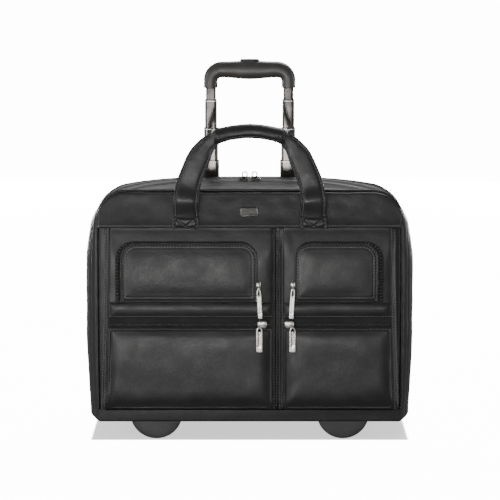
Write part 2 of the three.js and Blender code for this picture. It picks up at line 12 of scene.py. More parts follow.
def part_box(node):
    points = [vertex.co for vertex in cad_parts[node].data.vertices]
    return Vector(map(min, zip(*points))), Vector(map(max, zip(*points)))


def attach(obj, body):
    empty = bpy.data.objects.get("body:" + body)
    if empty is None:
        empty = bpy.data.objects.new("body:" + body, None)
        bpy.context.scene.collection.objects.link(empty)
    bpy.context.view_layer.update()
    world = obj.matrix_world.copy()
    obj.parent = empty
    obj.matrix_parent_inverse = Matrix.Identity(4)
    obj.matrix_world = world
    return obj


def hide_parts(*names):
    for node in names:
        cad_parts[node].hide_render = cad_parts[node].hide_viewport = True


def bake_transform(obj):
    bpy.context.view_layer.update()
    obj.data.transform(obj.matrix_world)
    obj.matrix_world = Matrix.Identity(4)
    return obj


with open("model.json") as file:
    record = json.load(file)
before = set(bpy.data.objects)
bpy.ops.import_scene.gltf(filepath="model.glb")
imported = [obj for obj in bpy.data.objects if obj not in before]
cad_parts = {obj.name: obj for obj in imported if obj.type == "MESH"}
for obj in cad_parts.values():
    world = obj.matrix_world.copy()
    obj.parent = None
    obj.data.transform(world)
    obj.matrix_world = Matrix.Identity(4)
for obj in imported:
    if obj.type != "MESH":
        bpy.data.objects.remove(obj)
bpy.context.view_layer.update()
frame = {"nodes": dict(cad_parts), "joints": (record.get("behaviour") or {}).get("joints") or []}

MM = 0.001

# ---------------------------------------------------------------- places, from the frame


def span(node, axis):
    low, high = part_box(node)
    return low[axis], high[axis]


X, Y, Z = 0, 1, 2
PIPING_OUT = 1 * MM
BOW = 0.8 * MM
EDGE = span("front_piping", X)[1] - PIPING_OUT - BOW     # half width at the front edge
FRONT_RISE = 3 * MM                                 # how far the piped front edge stands up
TOP = span("front_piping", Z)[1] - PIPING_OUT - BOW - FRONT_RISE
BOTTOM = span("base_cover", Z)[0] - 2.6 * MM        # the covering sags a little below the stiff base
FRONT = span("front_shell", Y)[0]
BACK = span("rear_shell", Y)[1]
SPLIT = span("front_shell", Z)[0]                   # where the opening front meets the base
STRIP = span("base_cover", Y)[0]
ZIP_FRONT = span("main_zip_front", Y)
ZIP_REAR = span("main_zip_rear", Y)
ZIP_LINE = (ZIP_FRONT[1] + ZIP_REAR[0]) / 2
TOP_RADIUS = 38 * MM
BASE_RADIUS = 3 * MM

# The stuffed shape of the case, as the solid model has it. Lengths are in metres.
SIDE_SWELL = 17 * MM
TOP_SWELL = 7 * MM
FULL_AT = 5 * MM
BACK_LOSS = 0.42                                    # share of the swelling lost towards the back
LOW_SHARE = 0.8                                     # share of the side swelling at the base
LOW_RISE = 104 * MM
NARROW_FROM = 238 * MM
NARROW_SPAN = 82 * MM
NARROW_LOSS = 0.58                                  # share of it lost at the shoulders
SHOULDER_DROP = 2.6 * MM
SHOULDER_AT = 97 * MM
RISE_POWER = 2.2
SHOULDER_POWER = 3.4
TOP_POWER = 6


def clamp(value, low=0.0, high=1.0):
    return max(low, min(high, value))


def smooth(value):
    value = clamp(value)
    return value * value * (3 - 2 * value)


def lerp(a, b, t):
    return a + (b - a) * t


def rolled(away, width):
    """Height of a rounded edge, from 0 at the edge to 1 once it is width away."""
    return math.sqrt(1 - (1 - clamp(away / width)) ** 2)


def bell(away, width):
    """A soft ridge that is 1 in its middle and fades over width."""
    return math.exp(-(away / width) ** 2)


def quarter_turn():
    """(inwards, outwards) shares of a rounded corner, from its side to its top."""
    angles = [math.pi / 2 * k / 8 for k in range(9)]
    return [(1 - math.cos(a), math.sin(a)) for a in angles]


def swell_at(y):
    rise = clamp((y - FRONT) / (FULL_AT - FRONT))
    fall = clamp((y - FULL_AT) / (BACK - FULL_AT))
    return 1 - (1 - rise) ** RISE_POWER - BACK_LOSS * fall ** 2


def swollen(x, y, z):
    amount = swell_at(y)
    share = LOW_SHARE + (1 - LOW_SHARE) * smooth((z - BOTTOM) / LOW_RISE)
    share *= 1 - NARROW_LOSS * clamp((z - NARROW_FROM) / NARROW_SPAN)
    height = (z - BOTTOM) / (TOP - BOTTOM)
    shoulder = SHOULDER_DROP * (abs(x) / SHOULDER_AT) ** SHOULDER_POWER
    return Vector((
        x * (1 + SIDE_SWELL / EDGE * amount * share),
        y,
        z + amount * (TOP_SWELL * height ** 2 - shoulder * height ** TOP_POWER)
        + (1 - amount) * FRONT_RISE * max(height, 0) ** TOP_POWER,
    ))


def risen(place):
    """A place on the front face, moved up with the case's raised front edge."""
    return swollen(place.x, FRONT, place.z) + Vector((0, place.y - FRONT, 0))


def arc(cx, cz, radius, start, end, count):
    angles = [lerp(start, end, i / count) for i in range(count + 1)]
    return [(cx + radius * math.cos(a), cz + radius * math.sin(a)) for a in angles]


def bowed(a, b, push, count):
    """A shallow curve from a to b whose middle is moved by push."""
    points = []
    for i in range(count + 1):
        t = i / count
        lift = 4 * t * (1 - t)
        points.append((lerp(a[0], b[0], t) + push[0] * lift, lerp(a[1], b[1], t) + push[1] * lift))
    return points


def outline():
    """The case's front view as (x, z) points, from the middle of the bottom round by the left."""
    w, low, high = EDGE, BOTTOM, TOP
    r, q = TOP_RADIUS, BASE_RADIUS
    half = math.pi / 2
    points = bowed((0, low), (-w + q, low), (0, 0), 40)
    points += arc(-w + q, low + q, q, -half, -math.pi, 8)
    points += bowed((-w, low + q), (-w, high - r), (-BOW, 0), 60)
    points += arc(-w + r, high - r, r, math.pi, half, 18)
    points += bowed((-w + r, high), (w - r, high), (0, BOW), 90)
    points += arc(w - r, high - r, r, half, 0, 18)
    points += bowed((w, high - r), (w, low + q), (BOW, 0), 60)
    points += arc(w - q, low + q, q, 0, -half, 8)
    points += bowed((w - q, low), (0, low), (0, 0), 40)
    kept = [points[0]]
    for p in points[1:-1]:
        if math.dist(p, kept[-1]) > 1e-5:
            kept.append(p)
    return kept


def with_normals(points):
    """Each point of a loop with its outward direction, longer at a corner to keep both edges parallel."""
    count = len(points)
    result = []
    for i, p in enumerate(points):
        before = points[i - 1]
        after = points[(i + 1) % count]
        steps = [Vector((p[0] - before[0], p[1] - before[1])).normalized(),
                 Vector((after[0] - p[0], after[1] - p[1])).normalized()]
        sides = [Vector((-s.y, s.x)) for s in steps]
        normal = sum(sides, Vector((0, 0))).normalized()
        result.append((Vector(p), normal / max(normal.dot(sides[0]), 0.5)))
    return result


RIM = with_normals(outline())


RUN_GAP = 0.2 * MM                                  # least step between a run's end and its next point


def rim_above(low):
    """The case's outline above a height, from the left foot of the run over the top to the right one."""
    run = [(p, n) for p, n in RIM if p.y > low + RUN_GAP]
    first, last = run[0], run[-1]
    return [(Vector((first[0].x, low)), first[1])] + run + [(Vector((last[0].x, low)), last[1])]


def rim_below(high):
    """The case's outline below a height, from the right end of the run under the case to the left one."""
    middle = len(RIM) // 2
    run = [(p, n) for p, n in RIM[middle:] + RIM[:middle] if p.y < high - RUN_GAP]
    first, last = run[0], run[-1]
    return [(Vector((first[0].x, high)), first[1])] + run + [(Vector((last[0].x, high)), last[1])]


def on_rim(place, inset, y):
    p, n = place
    return swollen(p.x - n.x * inset, y, p.y - n.y * inset)


def band(build, run, profile):
    """A closed (y, inset) profile swept along a run of the outline."""
    build.tube([[on_rim(place, inset, y) for y, inset in profile] for place in run])


def rounds(build, loop, profile, warp=None):
    """Rings of a closed front-view loop at (inset, y) stations, closed by a face at each end."""
    rows = []
    for inset, y in profile:
        row = [Vector((p.x - n.x * inset, y, p.y - n.y * inset)) for p, n in loop]
        rows.append([warp(v) for v in row] if warp else row)
    build.tube(rows)


def half_width(z, inset):
    """Half the width of the front at height z, before any swelling."""
    r = TOP_RADIUS - inset
    corner = TOP - inset - r
    if z <= corner:
        return EDGE - inset
    rise = min(z - corner, r)
    return EDGE - inset - r + math.sqrt(max(r * r - rise * rise, 0))


def ripple(point, size, depth, seed):
    """A smooth random lift, the same on every run."""
    spot = Vector(point) / size + Vector((seed, seed * 1.7, seed * 0.3))
    return depth * noise.noise(spot)


# ---------------------------------------------------------------- building meshes


class Build:
    """Collects the vertices and faces of one piece."""

    def __init__(self):
        self.verts = []
        self.faces = []

    def add(self, points):
        start = len(self.verts)
        self.verts += [tuple(p) for p in points]
        return list(range(start, len(self.verts)))

    def grid(self, rows, loop=False, ring=False):
        """Quads over rows of points. loop closes each row, ring joins the last row to the first."""
        ids = [self.add(row) for row in rows]
        count = len(rows[0])
        lines = len(ids) if ring else len(ids) - 1
        steps = count if loop else count - 1
        for i in range(lines):
            a = ids[i]
            b = ids[(i + 1) % len(ids)]
            for k in range(steps):
                m = (k + 1) % count
                self.faces.append((a[k], a[m], b[m], b[k]))
        return ids

    def tube(self, rows, ring=False):
        """Closed sections joined into a tube, with flat ends unless it is a ring."""
        ids = self.grid(rows, loop=True, ring=ring)
        if not ring:
            self.faces.append(tuple(ids[0]))
            self.faces.append(tuple(reversed(ids[-1])))
        return ids

    def block(self, xs, ys, zs):
        """A plain box between the two values given for each axis."""
        square = [(xs[0], ys[0]), (xs[1], ys[0]), (xs[1], ys[1]), (xs[0], ys[1])]
        self.tube([[Vector((x, y, z)) for x, y in square] for z in zs])

    def slab(self, front, back):
        """Two grids of the same size, joined round their rims."""
        a = self.grid(front)
        b = self.grid(back)
        rim_a = a[0] + [row[-1] for row in a[1:]] + a[-1][-2::-1] + [row[0] for row in a[-2:0:-1]]
        rim_b = b[0] + [row[-1] for row in b[1:]] + b[-1][-2::-1] + [row[0] for row in b[-2:0:-1]]
        for k in range(len(rim_a)):
            m = (k + 1) % len(rim_a)
            self.faces.append((rim_a[k], rim_a[m], rim_b[m], rim_b[k]))

    def object(self, name, crease):
        """The piece as a smooth mesh object, sharp where faces meet at more than crease degrees."""
        mesh = bpy.data.meshes.new(name)
        mesh.from_pydata(self.verts, [], self.faces)
        clean = bmesh.new()
        clean.from_mesh(mesh)
        bmesh.ops.remove_doubles(clean, verts=clean.verts, dist=1e-6)
        bmesh.ops.recalc_face_normals(clean, faces=clean.faces)
        clean.to_mesh(mesh)
        clean.free()
        mesh.shade_smooth()
        mesh.set_sharp_from_angle(angle=math.radians(crease))
        obj = bpy.data.objects.new(name, mesh)
        bpy.context.scene.collection.objects.link(obj)
        return obj

    def piece(self, name, crease, body, slot, material, replaces=()):
        """The piece as an object that has its material and moves with its body."""
        return placed(self.object(name, crease), body, material, replaces)


def placed(obj, body, material, replaces=()):
    """Gives a piece its material, and fixes it to its body."""
    obj.data.materials.clear()
    obj.data.materials.append(MATERIALS[material])
    if replaces:
        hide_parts(*replaces)
    if body:
        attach(obj, body)
    return obj


def apply_modifiers(obj):
    """Fixes the shape that the modifiers give."""
    shown = bpy.context.evaluated_depsgraph_get()
    mesh = bpy.data.meshes.new_from_object(obj.evaluated_get(shown))
    obj.modifiers.clear()
    obj.data = mesh
    return obj


BEVEL_FROM = math.radians(35)


def bevelled(obj, width):
    """Rounds the edges of a hard part."""
    modifier = obj.modifiers.new("edge", "BEVEL")
    modifier.width = width
    modifier.segments = 2
    modifier.limit_method = "ANGLE"
    modifier.angle_limit = BEVEL_FROM
    modifier.harden_normals = False
    apply_modifiers(obj)
    obj.data.shade_smooth()
    obj.data.set_sharp_from_angle(angle=math.radians(50))
    return obj


def copy_of(node, name):
    """A new object with a solid's mesh, its split corners joined and its flat faces whole."""
    obj = bpy.data.objects.new(name, frame["nodes"][node].data.copy())
    bpy.context.scene.collection.objects.link(obj)
    clean = bmesh.new()
    clean.from_mesh(obj.data)
    bmesh.ops.remove_doubles(clean, verts=clean.verts, dist=1e-5)
    bmesh.ops.dissolve_limit(clean, angle_limit=math.radians(1), verts=clean.verts, edges=clean.edges)
    clean.to_mesh(obj.data)
    clean.free()
    return obj


def section(width, depth, power, count):
    """A rounded section as (across, through) offsets: power 2 is an ellipse, more is squarer."""
    points = []
    for i in range(count):
        a = 2 * math.pi * i / count
        c, s = math.cos(a), math.sin(a)
        u = math.copysign(abs(c) ** (2 / power), c) * width / 2
        v = math.copysign(abs(s) ** (2 / power), s) * depth / 2
        points.append((u, v))
    return points


def frames_along(points, up, closed=False):
    """The direction along a path and the side direction square to it and to up, at every point."""
    count = len(points)
    result = []
    for i, p in enumerate(points):
        before = points[i - 1] if i > 0 or closed else p
        after = points[(i + 1) % count] if i < count - 1 or closed else p
        along = (Vector(after) - Vector(before)).normalized()
        lift = Vector(up[i] if isinstance(up, list) else up)
        side = along.cross(lift).normalized()
        result.append((Vector(p), along, side, side.cross(along).normalized()))
    return result


def cord(build, points, radius, up, count, closed=False):
    """A round cord laid along points."""
    ring = section(2 * radius, 2 * radius, 2, count)
    rows = []
    for p, _, side, lift in frames_along(points, up, closed):
        rows.append([p + side * u + lift * v for u, v in ring])
    build.tube(rows, ring=closed)


def resampled(points, step):
    """Evenly spaced points along a path, about step apart."""
    points = [Vector(p) for p in points]
    lengths = [0.0]
    for a, b in zip(points, points[1:]):
        lengths.append(lengths[-1] + (b - a).length)
    count = max(2, round(lengths[-1] / step))
    result = []
    k = 0
    for i in range(count + 1):
        goal = lengths[-1] * i / count
        while k < len(lengths) - 2 and lengths[k + 1] < goal:
            k += 1
        piece = lengths[k + 1] - lengths[k]
        t = (goal - lengths[k]) / piece if piece else 0
        result.append(points[k].lerp(points[k + 1], t))
    return result


STITCH_STEP = 3.9 * MM
STITCH_LONG = 2.8 * MM
STITCH_THICK = 0.8 * MM


def stitch(build, centre, along, side, lift):
    """One sewn stitch: a short thread whose ends dive into the leather."""
    long, thick = STITCH_LONG, STITCH_THICK
    rows = []
    for t, swell in ((-1, 0.45), (-0.72, 0.85), (0, 1), (0.72, 0.85), (1, 0.45)):
        sink = thick * 0.55 * abs(t) ** 3
        middle = centre + along * (t * long / 2) + lift * (thick * 0.2 - sink)
        ring = section(thick * swell * 1.15, thick * swell, 2, 6)
        rows.append([middle + side * u + lift * v for u, v in ring])
    build.tube(rows)


def spread(values, count):
    """The values stretched or thinned to a new count."""
    last = len(values) - 1
    return [values[round(i * last / max(count - 1, 1))] for i in range(count)]


# ---------------------------------------------------------------- materials


MATERIALS = {}
RUB_FROM, RUB_FULL = 0.52, 0.6                      # pointiness where wear starts and is complete
LEATHER_COAT = 0.18


class Finish:
    """A node material that is built up in steps, ending in one Principled shader."""

    def __init__(self, name, **constants):
        self.material = bpy.data.materials.new(name)
        self.material.use_nodes = True
        self.tree = self.material.node_tree
        self.tree.nodes.clear()
        self.shader = self.node("BsdfPrincipled")
        out = self.node("OutputMaterial")
        self.link(self.shader.outputs["BSDF"], out.inputs["Surface"])
        self.place = self.node("TexCoord").outputs["Object"]
        for key, value in constants.items():
            self.shader.inputs[key.replace("_", " ")].default_value = value
        MATERIALS[name] = self.material

    def node(self, kind, **settings):
        made = self.tree.nodes.new("ShaderNode" + kind)
        for key, value in settings.items():
            setattr(made, key, value)
        return made

    def link(self, source, target):
        self.tree.links.new(source, target)

    def scaled(self, scale):
        """The object's own coordinates, stretched by a factor for each axis."""
        mapping = self.node("Mapping")
        self.link(self.place, mapping.inputs["Vector"])
        mapping.inputs["Scale"].default_value = scale
        return mapping.outputs["Vector"]

    def noise(self, size, detail=3.0, rough=0.5, stretch=None):
        """Soft random values with patches about size metres across."""
        made = self.node("TexNoise")
        self.link(self.scaled(stretch) if stretch else self.place, made.inputs["Vector"])
        made.inputs["Scale"].default_value = 1 / size
        made.inputs["Detail"].default_value = detail
        made.inputs["Roughness"].default_value = rough
        return made.outputs["Fac"]

    def cells(self, size, feature="F1"):
        """Rounded cells about size metres across, as the distance from their middles."""
        made = self.node("TexVoronoi", feature=feature)
        self.link(self.place, made.inputs["Vector"])
        made.inputs["Scale"].default_value = 1 / size
        made.inputs["Randomness"].default_value = 1.0
        return made.outputs["Distance"]

    def bands(self, pitch, axis):
        """Soft bands across one axis, one every pitch; the wave node turns 20 radians for each unit."""
        made = self.node("TexWave", bands_direction=axis, wave_profile="SIN")
        self.link(self.place, made.inputs["Vector"])
        made.inputs["Scale"].default_value = 2 * math.pi / 20 / pitch
        made.inputs["Distortion"].default_value = 0.0
        return made.outputs["Fac"]

    def maths(self, operation, a, b):
        """A sum on two values, each a number or a socket."""
        made = self.node("Math", operation=operation)
        for socket, value in zip(made.inputs, (a, b)):
            if isinstance(value, (int, float)):
                socket.default_value = value
            else:
                self.link(value, socket)
        return made.outputs["Value"]

    def ranged(self, value, low, high, start=0.0, end=1.0):
        """Spreads the values between start and end over low to high."""
        made = self.node("MapRange")
        self.link(value, made.inputs["Value"])
        made.inputs["From Min"].default_value = start
        made.inputs["From Max"].default_value = end
        made.inputs["To Min"].default_value = low
        made.inputs["To Max"].default_value = high
        return made.outputs["Result"]

    def tint(self, value, *stops):
        """Colours along a ramp: each stop is (place, colour)."""
        ramp = self.node("ValToRGB")
        self.link(value, ramp.inputs["Fac"])
        elements = ramp.color_ramp.elements
        while len(elements) < len(stops):
            elements.new(0.5)
        for element, (place, colour) in zip(elements, stops):
            element.position = place
            element.color = (*colour, 1)
        return ramp.outputs["Color"]

    def mixed(self, factor, a, b):
        """Colour a fading to colour b by a factor; each is a value or a socket."""
        made = self.node("Mix", data_type="RGBA", blend_type="MIX")
        sockets = [made.inputs[0], made.inputs[6], made.inputs[7]]
        for socket, value in zip(sockets, (factor, a, b)):
            if isinstance(value, (int, float)):
                socket.default_value = value
            elif isinstance(value, tuple):
                socket.default_value = (*value, 1)
            else:
                self.link(value, socket)
        return made.outputs[2]

    def worn(self, colour, lighter, share):
        """Lightens the outer edges, where things rub."""
        edge = self.node("NewGeometry").outputs["Pointiness"]
        patchy = self.ranged(self.noise(9 * MM, 4), 0.0, share, 0.35, 0.65)
        amount = self.maths("MULTIPLY", self.ranged(edge, 0, 1, RUB_FROM, RUB_FULL), patchy)
        return self.mixed(amount, colour, lighter)

    def bump(self, height, strength, distance):
        """Adds relief on top of what the shader's normal already has."""
        made = self.node("Bump")
        made.inputs["Strength"].default_value = strength
        made.inputs["Distance"].default_value = distance
        self.link(height, made.inputs["Height"])
        previous = self.shader.inputs["Normal"].links
        if previous:
            source = previous[0].from_socket
            self.link(source, made.inputs["Normal"])
        self.link(made.outputs["Normal"], self.shader.inputs["Normal"])

    def colour(self, value):
        self.link(value, self.shader.inputs["Base Color"])

    def roughness(self, value):
        self.link(value, self.shader.inputs["Roughness"])


def leather(name, dark, light, rough, grain=1.25 * MM, crease=0.35):
    """Pebbled leather: small cells with sunk creases between them, and slow changes of shine."""
    m = Finish(name, Specular_IOR_Level=0.5, Coat_Weight=LEATHER_COAT, Coat_Roughness=0.34, IOR=1.48)
    patches = m.noise(34 * MM, 3)
    pebbles = m.cells(grain, "SMOOTH_F1")
    base = m.tint(patches, (0.3, dark), (0.72, light))
    creased = m.mixed(m.ranged(pebbles, 0.0, 0.45, 0.35, 0.75), base, tuple(0.45 * c for c in dark))
    m.colour(m.worn(creased, tuple(2.1 * c for c in light), share=0.4))
    shine = m.ranged(m.noise(20 * MM, 4), rough - 0.07, rough + 0.09, 0.3, 0.7)
    m.roughness(m.maths("ADD", shine, m.ranged(pebbles, -0.03, 0.07)))
    m.bump(m.noise(13 * MM, 3, 0.55), crease, 0.9 * MM)
    m.bump(m.maths("MULTIPLY", pebbles, -1.0), 0.4, 0.16 * MM)
    m.bump(m.noise(0.4 * MM, 2), 0.16, 0.05 * MM)


def woven(name, dark, light, pitch, rough, sheen=0.25):
    """Plain weave of two sets of threads crossing each other."""
    m = Finish(name, Sheen_Weight=sheen, Sheen_Roughness=0.5, Specular_IOR_Level=0.35)
    across = m.bands(pitch, "X")
    upward = m.bands(pitch, "Z")
    inward = m.bands(pitch, "Y")
    weave = m.maths("MULTIPLY", m.maths("ADD", across, inward), upward)
    shade = m.maths("MULTIPLY", weave, m.ranged(m.noise(22 * MM, 4), 0.65, 1.1, 0.3, 0.7))
    m.colour(m.tint(shade, (0.1, dark), (0.9, light)))
    m.roughness(m.ranged(m.noise(5 * MM, 3), rough - 0.06, rough + 0.08))
    m.bump(weave, 0.5, 0.12 * MM)
    m.bump(m.noise(1.1 * MM, 2), 0.2, 0.1 * MM)


def moulded(name, dark, light, rough, grain=0.55 * MM, depth=0.06 * MM, coat=0.0):
    """Moulded plastic with a fine spark-eroded texture and scuffed edges."""
    m = Finish(name, Specular_IOR_Level=0.5, Coat_Weight=coat, Coat_Roughness=0.25)
    base = m.tint(m.noise(30 * MM, 4), (0.3, dark), (0.75, light))
    m.colour(m.worn(base, tuple(1.8 * c for c in light), share=0.5))
    scuffs = m.ranged(m.noise(7 * MM, 5, 0.65, (1, 1, 4)), rough - 0.05, rough + 0.1, 0.35, 0.7)
    m.roughness(scuffs)
    m.bump(m.noise(grain, 3, 0.6), 0.35, depth)
    m.bump(m.cells(grain * 1.9), 0.12, depth)


def brushed(name, dark, light, rough, run, lines=0.25, anisotropic=0.5, metallic=1.0):
    """Metal with fine draw lines along one axis; run is how far each axis is stretched."""
    m = Finish(name, Metallic=metallic, Anisotropic=anisotropic, Specular_IOR_Level=0.5)
    streaks = m.noise(0.5 * MM, 3, 0.55, run)
    spots = m.noise(16 * MM, 3)
    base = m.tint(m.maths("MULTIPLY", m.ranged(streaks, 0.9, 1.06), spots), (0.3, dark), (0.62, light))
    m.colour(m.worn(base, tuple(min(1, 1.25 * c) for c in light), share=0.3))
    m.roughness(m.maths("ADD", m.ranged(streaks, -0.02, 0.03), m.ranged(spots, rough - 0.02, rough + 0.04)))
    m.bump(streaks, lines, 0.006 * MM)


def thread():
    """Sewing thread, twisted and a little lighter than the leather: dark thread given a lighter grey as
    painted highlight.
    """
    m = Finish("thread", Sheen_Weight=0.3, Specular_IOR_Level=0.4)
    twist = m.noise(0.35 * MM, 2)
    # Painted highlight: the dark thread is coloured a lighter grey, varying along its twist.
    m.colour(m.tint(twist, (0.25, (0.11, 0.108, 0.107)), (0.75, (0.24, 0.236, 0.232))))
    m.roughness(m.ranged(twist, 0.42, 0.62))
    m.bump(twist, 0.5, 0.12 * MM)


def coil_nylon():
    """The glossy nylon of the zips' coils."""
    m = Finish("coil", Specular_IOR_Level=0.55, Coat_Weight=0.2, Coat_Roughness=0.2)
    m.colour(m.tint(m.noise(3 * MM, 3), (0.3, (0.008, 0.008, 0.009)), (0.7, (0.03, 0.03, 0.032))))
    m.roughness(m.ranged(m.noise(1.2 * MM, 3), 0.24, 0.4))
    m.bump(m.noise(0.5 * MM, 2), 0.2, 0.04 * MM)


def rubber():
    """Tyre rubber with a little dust on it."""
    m = Finish("rubber", Specular_IOR_Level=0.35)
    dust = m.noise(14 * MM, 5, 0.6)
    m.colour(m.tint(dust, (0.3, (0.02, 0.02, 0.02)), (0.75, (0.055, 0.053, 0.05))))
    m.roughness(m.ranged(dust, 0.55, 0.85, 0.3, 0.7))
    m.bump(m.noise(0.8 * MM, 4), 0.35, 0.12 * MM)


PAPER_GLOW = 14.0                                   # emission of the lit paper
SHADE_GLOW = 0.98                                   # emission of the paper inside the painted shadow
SHADE_HALF = 207 * MM                               # the painted shadow's reach to each side
SHADE_FRONT = -70 * MM
SHADE_BACK = 95 * MM
SHADE_SOFT = 3 * MM


def studio_paper():
    """White paper, with a flat shadow of the case painted on it."""
    m = Finish("studio_paper", Specular_IOR_Level=0.1)
    m.shader.inputs["Emission Color"].default_value = (1, 1, 1, 1)
    m.colour(m.tint(m.noise(0.5, 2), (0.3, (0.86, 0.86, 0.86)), (0.7, (0.89, 0.89, 0.89))))
    m.roughness(m.ranged(m.noise(0.2, 2), 0.75, 0.9))
    # Painted shadow: the paper glows less in a soft-edged rectangle under the case.
    place = m.node("SeparateXYZ")
    m.link(m.place, place.inputs["Vector"])
    beside = m.maths("ABSOLUTE", place.outputs["X"], 0.0)
    sideways = m.ranged(beside, 1.0, 0.0, SHADE_HALF, SHADE_HALF + SHADE_SOFT)
    forward = m.ranged(place.outputs["Y"], 0.0, 1.0, SHADE_FRONT - SHADE_SOFT, SHADE_FRONT)
    backward = m.ranged(place.outputs["Y"], 1.0, 0.0, SHADE_BACK, SHADE_BACK + SHADE_SOFT)
    shade = m.maths("MULTIPLY", m.maths("MULTIPLY", sideways, forward), backward)
    m.link(m.ranged(shade, PAPER_GLOW, SHADE_GLOW), m.shader.inputs["Emission Strength"])


leather("leather", (0.014, 0.0135, 0.014), (0.024, 0.023, 0.024), 0.4)
leather("leather_strap", (0.017, 0.0165, 0.017), (0.03, 0.029, 0.03), 0.37, 1.0 * MM, 0.45)
# Painted shade: a darker copy of the case leather, for the shade of the groove the piping cord lies in.
leather("piping_leather_painted_shade", (0.009, 0.009, 0.009), (0.016, 0.0155, 0.016), 0.36, 0.9 * MM, 0.2)
woven("lining", (0.045, 0.047, 0.05), (0.15, 0.155, 0.16), 0.9 * MM, 0.7)
woven("zip_tape", (0.006, 0.006, 0.006), (0.03, 0.03, 0.031), 0.7 * MM, 0.66)
woven("ballistic", (0.012, 0.012, 0.013), (0.06, 0.06, 0.063), 1.4 * MM, 0.6)
woven("fibre_board", (0.012, 0.012, 0.012), (0.035, 0.034, 0.033), 2.2 * MM, 0.8, 0.05)
moulded("moulded", (0.016, 0.016, 0.017), (0.03, 0.03, 0.031), 0.44)
# Painted light: a lighter copy of the moulded plastic, for the light the feet catch low at the front.
moulded("foot_plastic_painted_light", (0.04, 0.04, 0.041), (0.068, 0.068, 0.07), 0.42)
moulded("grip_plastic", (0.052, 0.047, 0.044), (0.085, 0.078, 0.073), 0.34, 0.45 * MM, 0.03 * MM, 0.15)
brushed("tube_metal", (0.052, 0.048, 0.044), (0.11, 0.103, 0.096), 0.12, (1, 1, 0.02), 0.08, 0.3, 0.55)
brushed("steel", (0.33, 0.33, 0.34), (0.55, 0.55, 0.56), 0.28, (0.05, 1, 1))
brushed("nickel", (0.78, 0.75, 0.71), (0.9, 0.87, 0.83), 0.26, (1, 1, 0.25), 0.2, 0.2)
brushed("badge_metal", (0.09, 0.088, 0.084), (0.22, 0.215, 0.205), 0.3, (0.03, 1, 1), 0.35, 0.6)
brushed("dark_nickel", (0.07, 0.065, 0.06), (0.15, 0.14, 0.13), 0.25, (1, 1, 0.25), 0.2, 0.2)
thread()
coil_nylon()
rubber()
studio_paper()


# ---------------------------------------------------------------- camera, light and floor

LOOK_AT = Vector((0.5, -62, 250.6)) * MM
CAMERA_DISTANCE = 3.0
CAMERA_ELEVATION = math.radians(8.2)
LENS = 166
SENSOR = 36
FAR = 30
WORLD_COLOUR = (0.95, 0.96, 1.0, 1)
WORLD_STRENGTH = 0.19
LAMP_COLOUR = (1, 0.99, 0.97)


def aimed(obj, target):
    """Turns a camera or a lamp towards a place."""
    obj.rotation_euler = (Vector(target) - obj.location).to_track_quat("-Z", "Y").to_euler()


def camera():
    """A long lens in front of the case, a little above it."""
    data = bpy.data.cameras.new("camera")
    data.lens = LENS
    data.sensor_width = SENSOR
    data.clip_end = FAR
    obj = bpy.data.objects.new("camera", data)
    back = Vector((0, -math.cos(CAMERA_ELEVATION), math.sin(CAMERA_ELEVATION)))
    obj.location = LOOK_AT + CAMERA_DISTANCE * back
    aimed(obj, LOOK_AT)
    bpy.context.scene.collection.objects.link(obj)
    bpy.context.scene.camera = obj


def lamp(name, place, target, width, height, power):
    """A rectangular area lamp aimed at a place."""
    data = bpy.data.lights.new(name, "AREA")
    data.shape = "RECTANGLE"
    data.size = width
    data.size_y = height
    data.energy = power
    data.color = LAMP_COLOUR
    obj = bpy.data.objects.new(name, data)
    obj.location = place
    aimed(obj, target)
    bpy.context.scene.collection.objects.link(obj)


def studio():
    """A dim world, and the lamps that draw the edges and the padding."""
    world = bpy.data.worlds.new("studio")
    world.use_nodes = True
    background = world.node_tree.nodes["Background"]
    background.inputs["Color"].default_value = WORLD_COLOUR
    background.inputs["Strength"].default_value = WORLD_STRENGTH
    bpy.context.scene.world = world
    middle = (0, 0, 0.2)
    lamp("key_light", (-1.7, -2.0, 0.9), middle, 1.1, 1.0, 7)
    lamp("top_light", (0.5, 1.1, 2.0), middle, 1.4, 0.8, 24)
    lamp("edge_light", (-0.7, 2.4, 1.45), middle, 1.2, 0.5, 4)
    lamp("left_strip", (-2.2, -0.3, 0.5), (0, 0, 0.25), 0.3, 1.8, 20)
    lamp("right_strip", (2.2, -0.3, 0.5), (0, 0, 0.25), 0.3, 1.8, 14)
    lamp("front_light", (0.6, -2.7, 0.35), (0, 0, 0.15), 1.6, 0.6, 2)
    lamp("low_light", (-0.6, -2.4, 0.1), (0, 0, 0.08), 1.8, 0.18, 20)
    for name, way in (("back_right", 1), ("back_left", -1)):
        lamp(name, (way * 1.0, 2.8, 0.2), middle, 1.2, 0.2, 26)


def floor():
    """A pale paper sweep: flat under the case and rising in a wide curve behind it."""
    half, near, far, radius, top = 6, -7, 3, 1.5, 6
    build = Build()
    rows = []
    for i in range(41):
        across = lerp(-half, half, i / 40)
        row = [Vector((across, lerp(near, far, k / 20), 0)) for k in range(21)]
        for k in range(1, 17):
            a = math.pi / 2 * k / 16
            row.append(Vector((across, far + radius * math.sin(a), radius - radius * math.cos(a))))
        row.append(Vector((across, far + radius, top)))
        rows.append(row)
    build.grid(rows)
    paper = build.object("studio_floor", 180)
    paper.data.materials.append(MATERIALS["studio_paper"])
    paper.visible_glossy = False
    paper.visible_diffuse = False


# ---------------------------------------------------------------- shells

SEAM = -45 * MM                                  # the seam round the front gusset
SKIN = 3.2 * MM                                  # thickness of the padded leather
PUCKER = 0.9 * MM                                # how fast the leather rises from a seam


def padded_run(start, end, swell, count, hollow=1.3 * MM):
    """(y, inset) points across a padded strip of a gusset, its two edges pulled in by the sewing."""
    points = []
    for i in range(count + 1):
        t = i / count
        edge = min(t, 1 - t) * abs(end - start)
        dip = hollow * math.exp(-edge / PUCKER)
        points.append((lerp(start, end, t), dip - swell * math.sin(math.pi * t) ** 0.7))
    return points


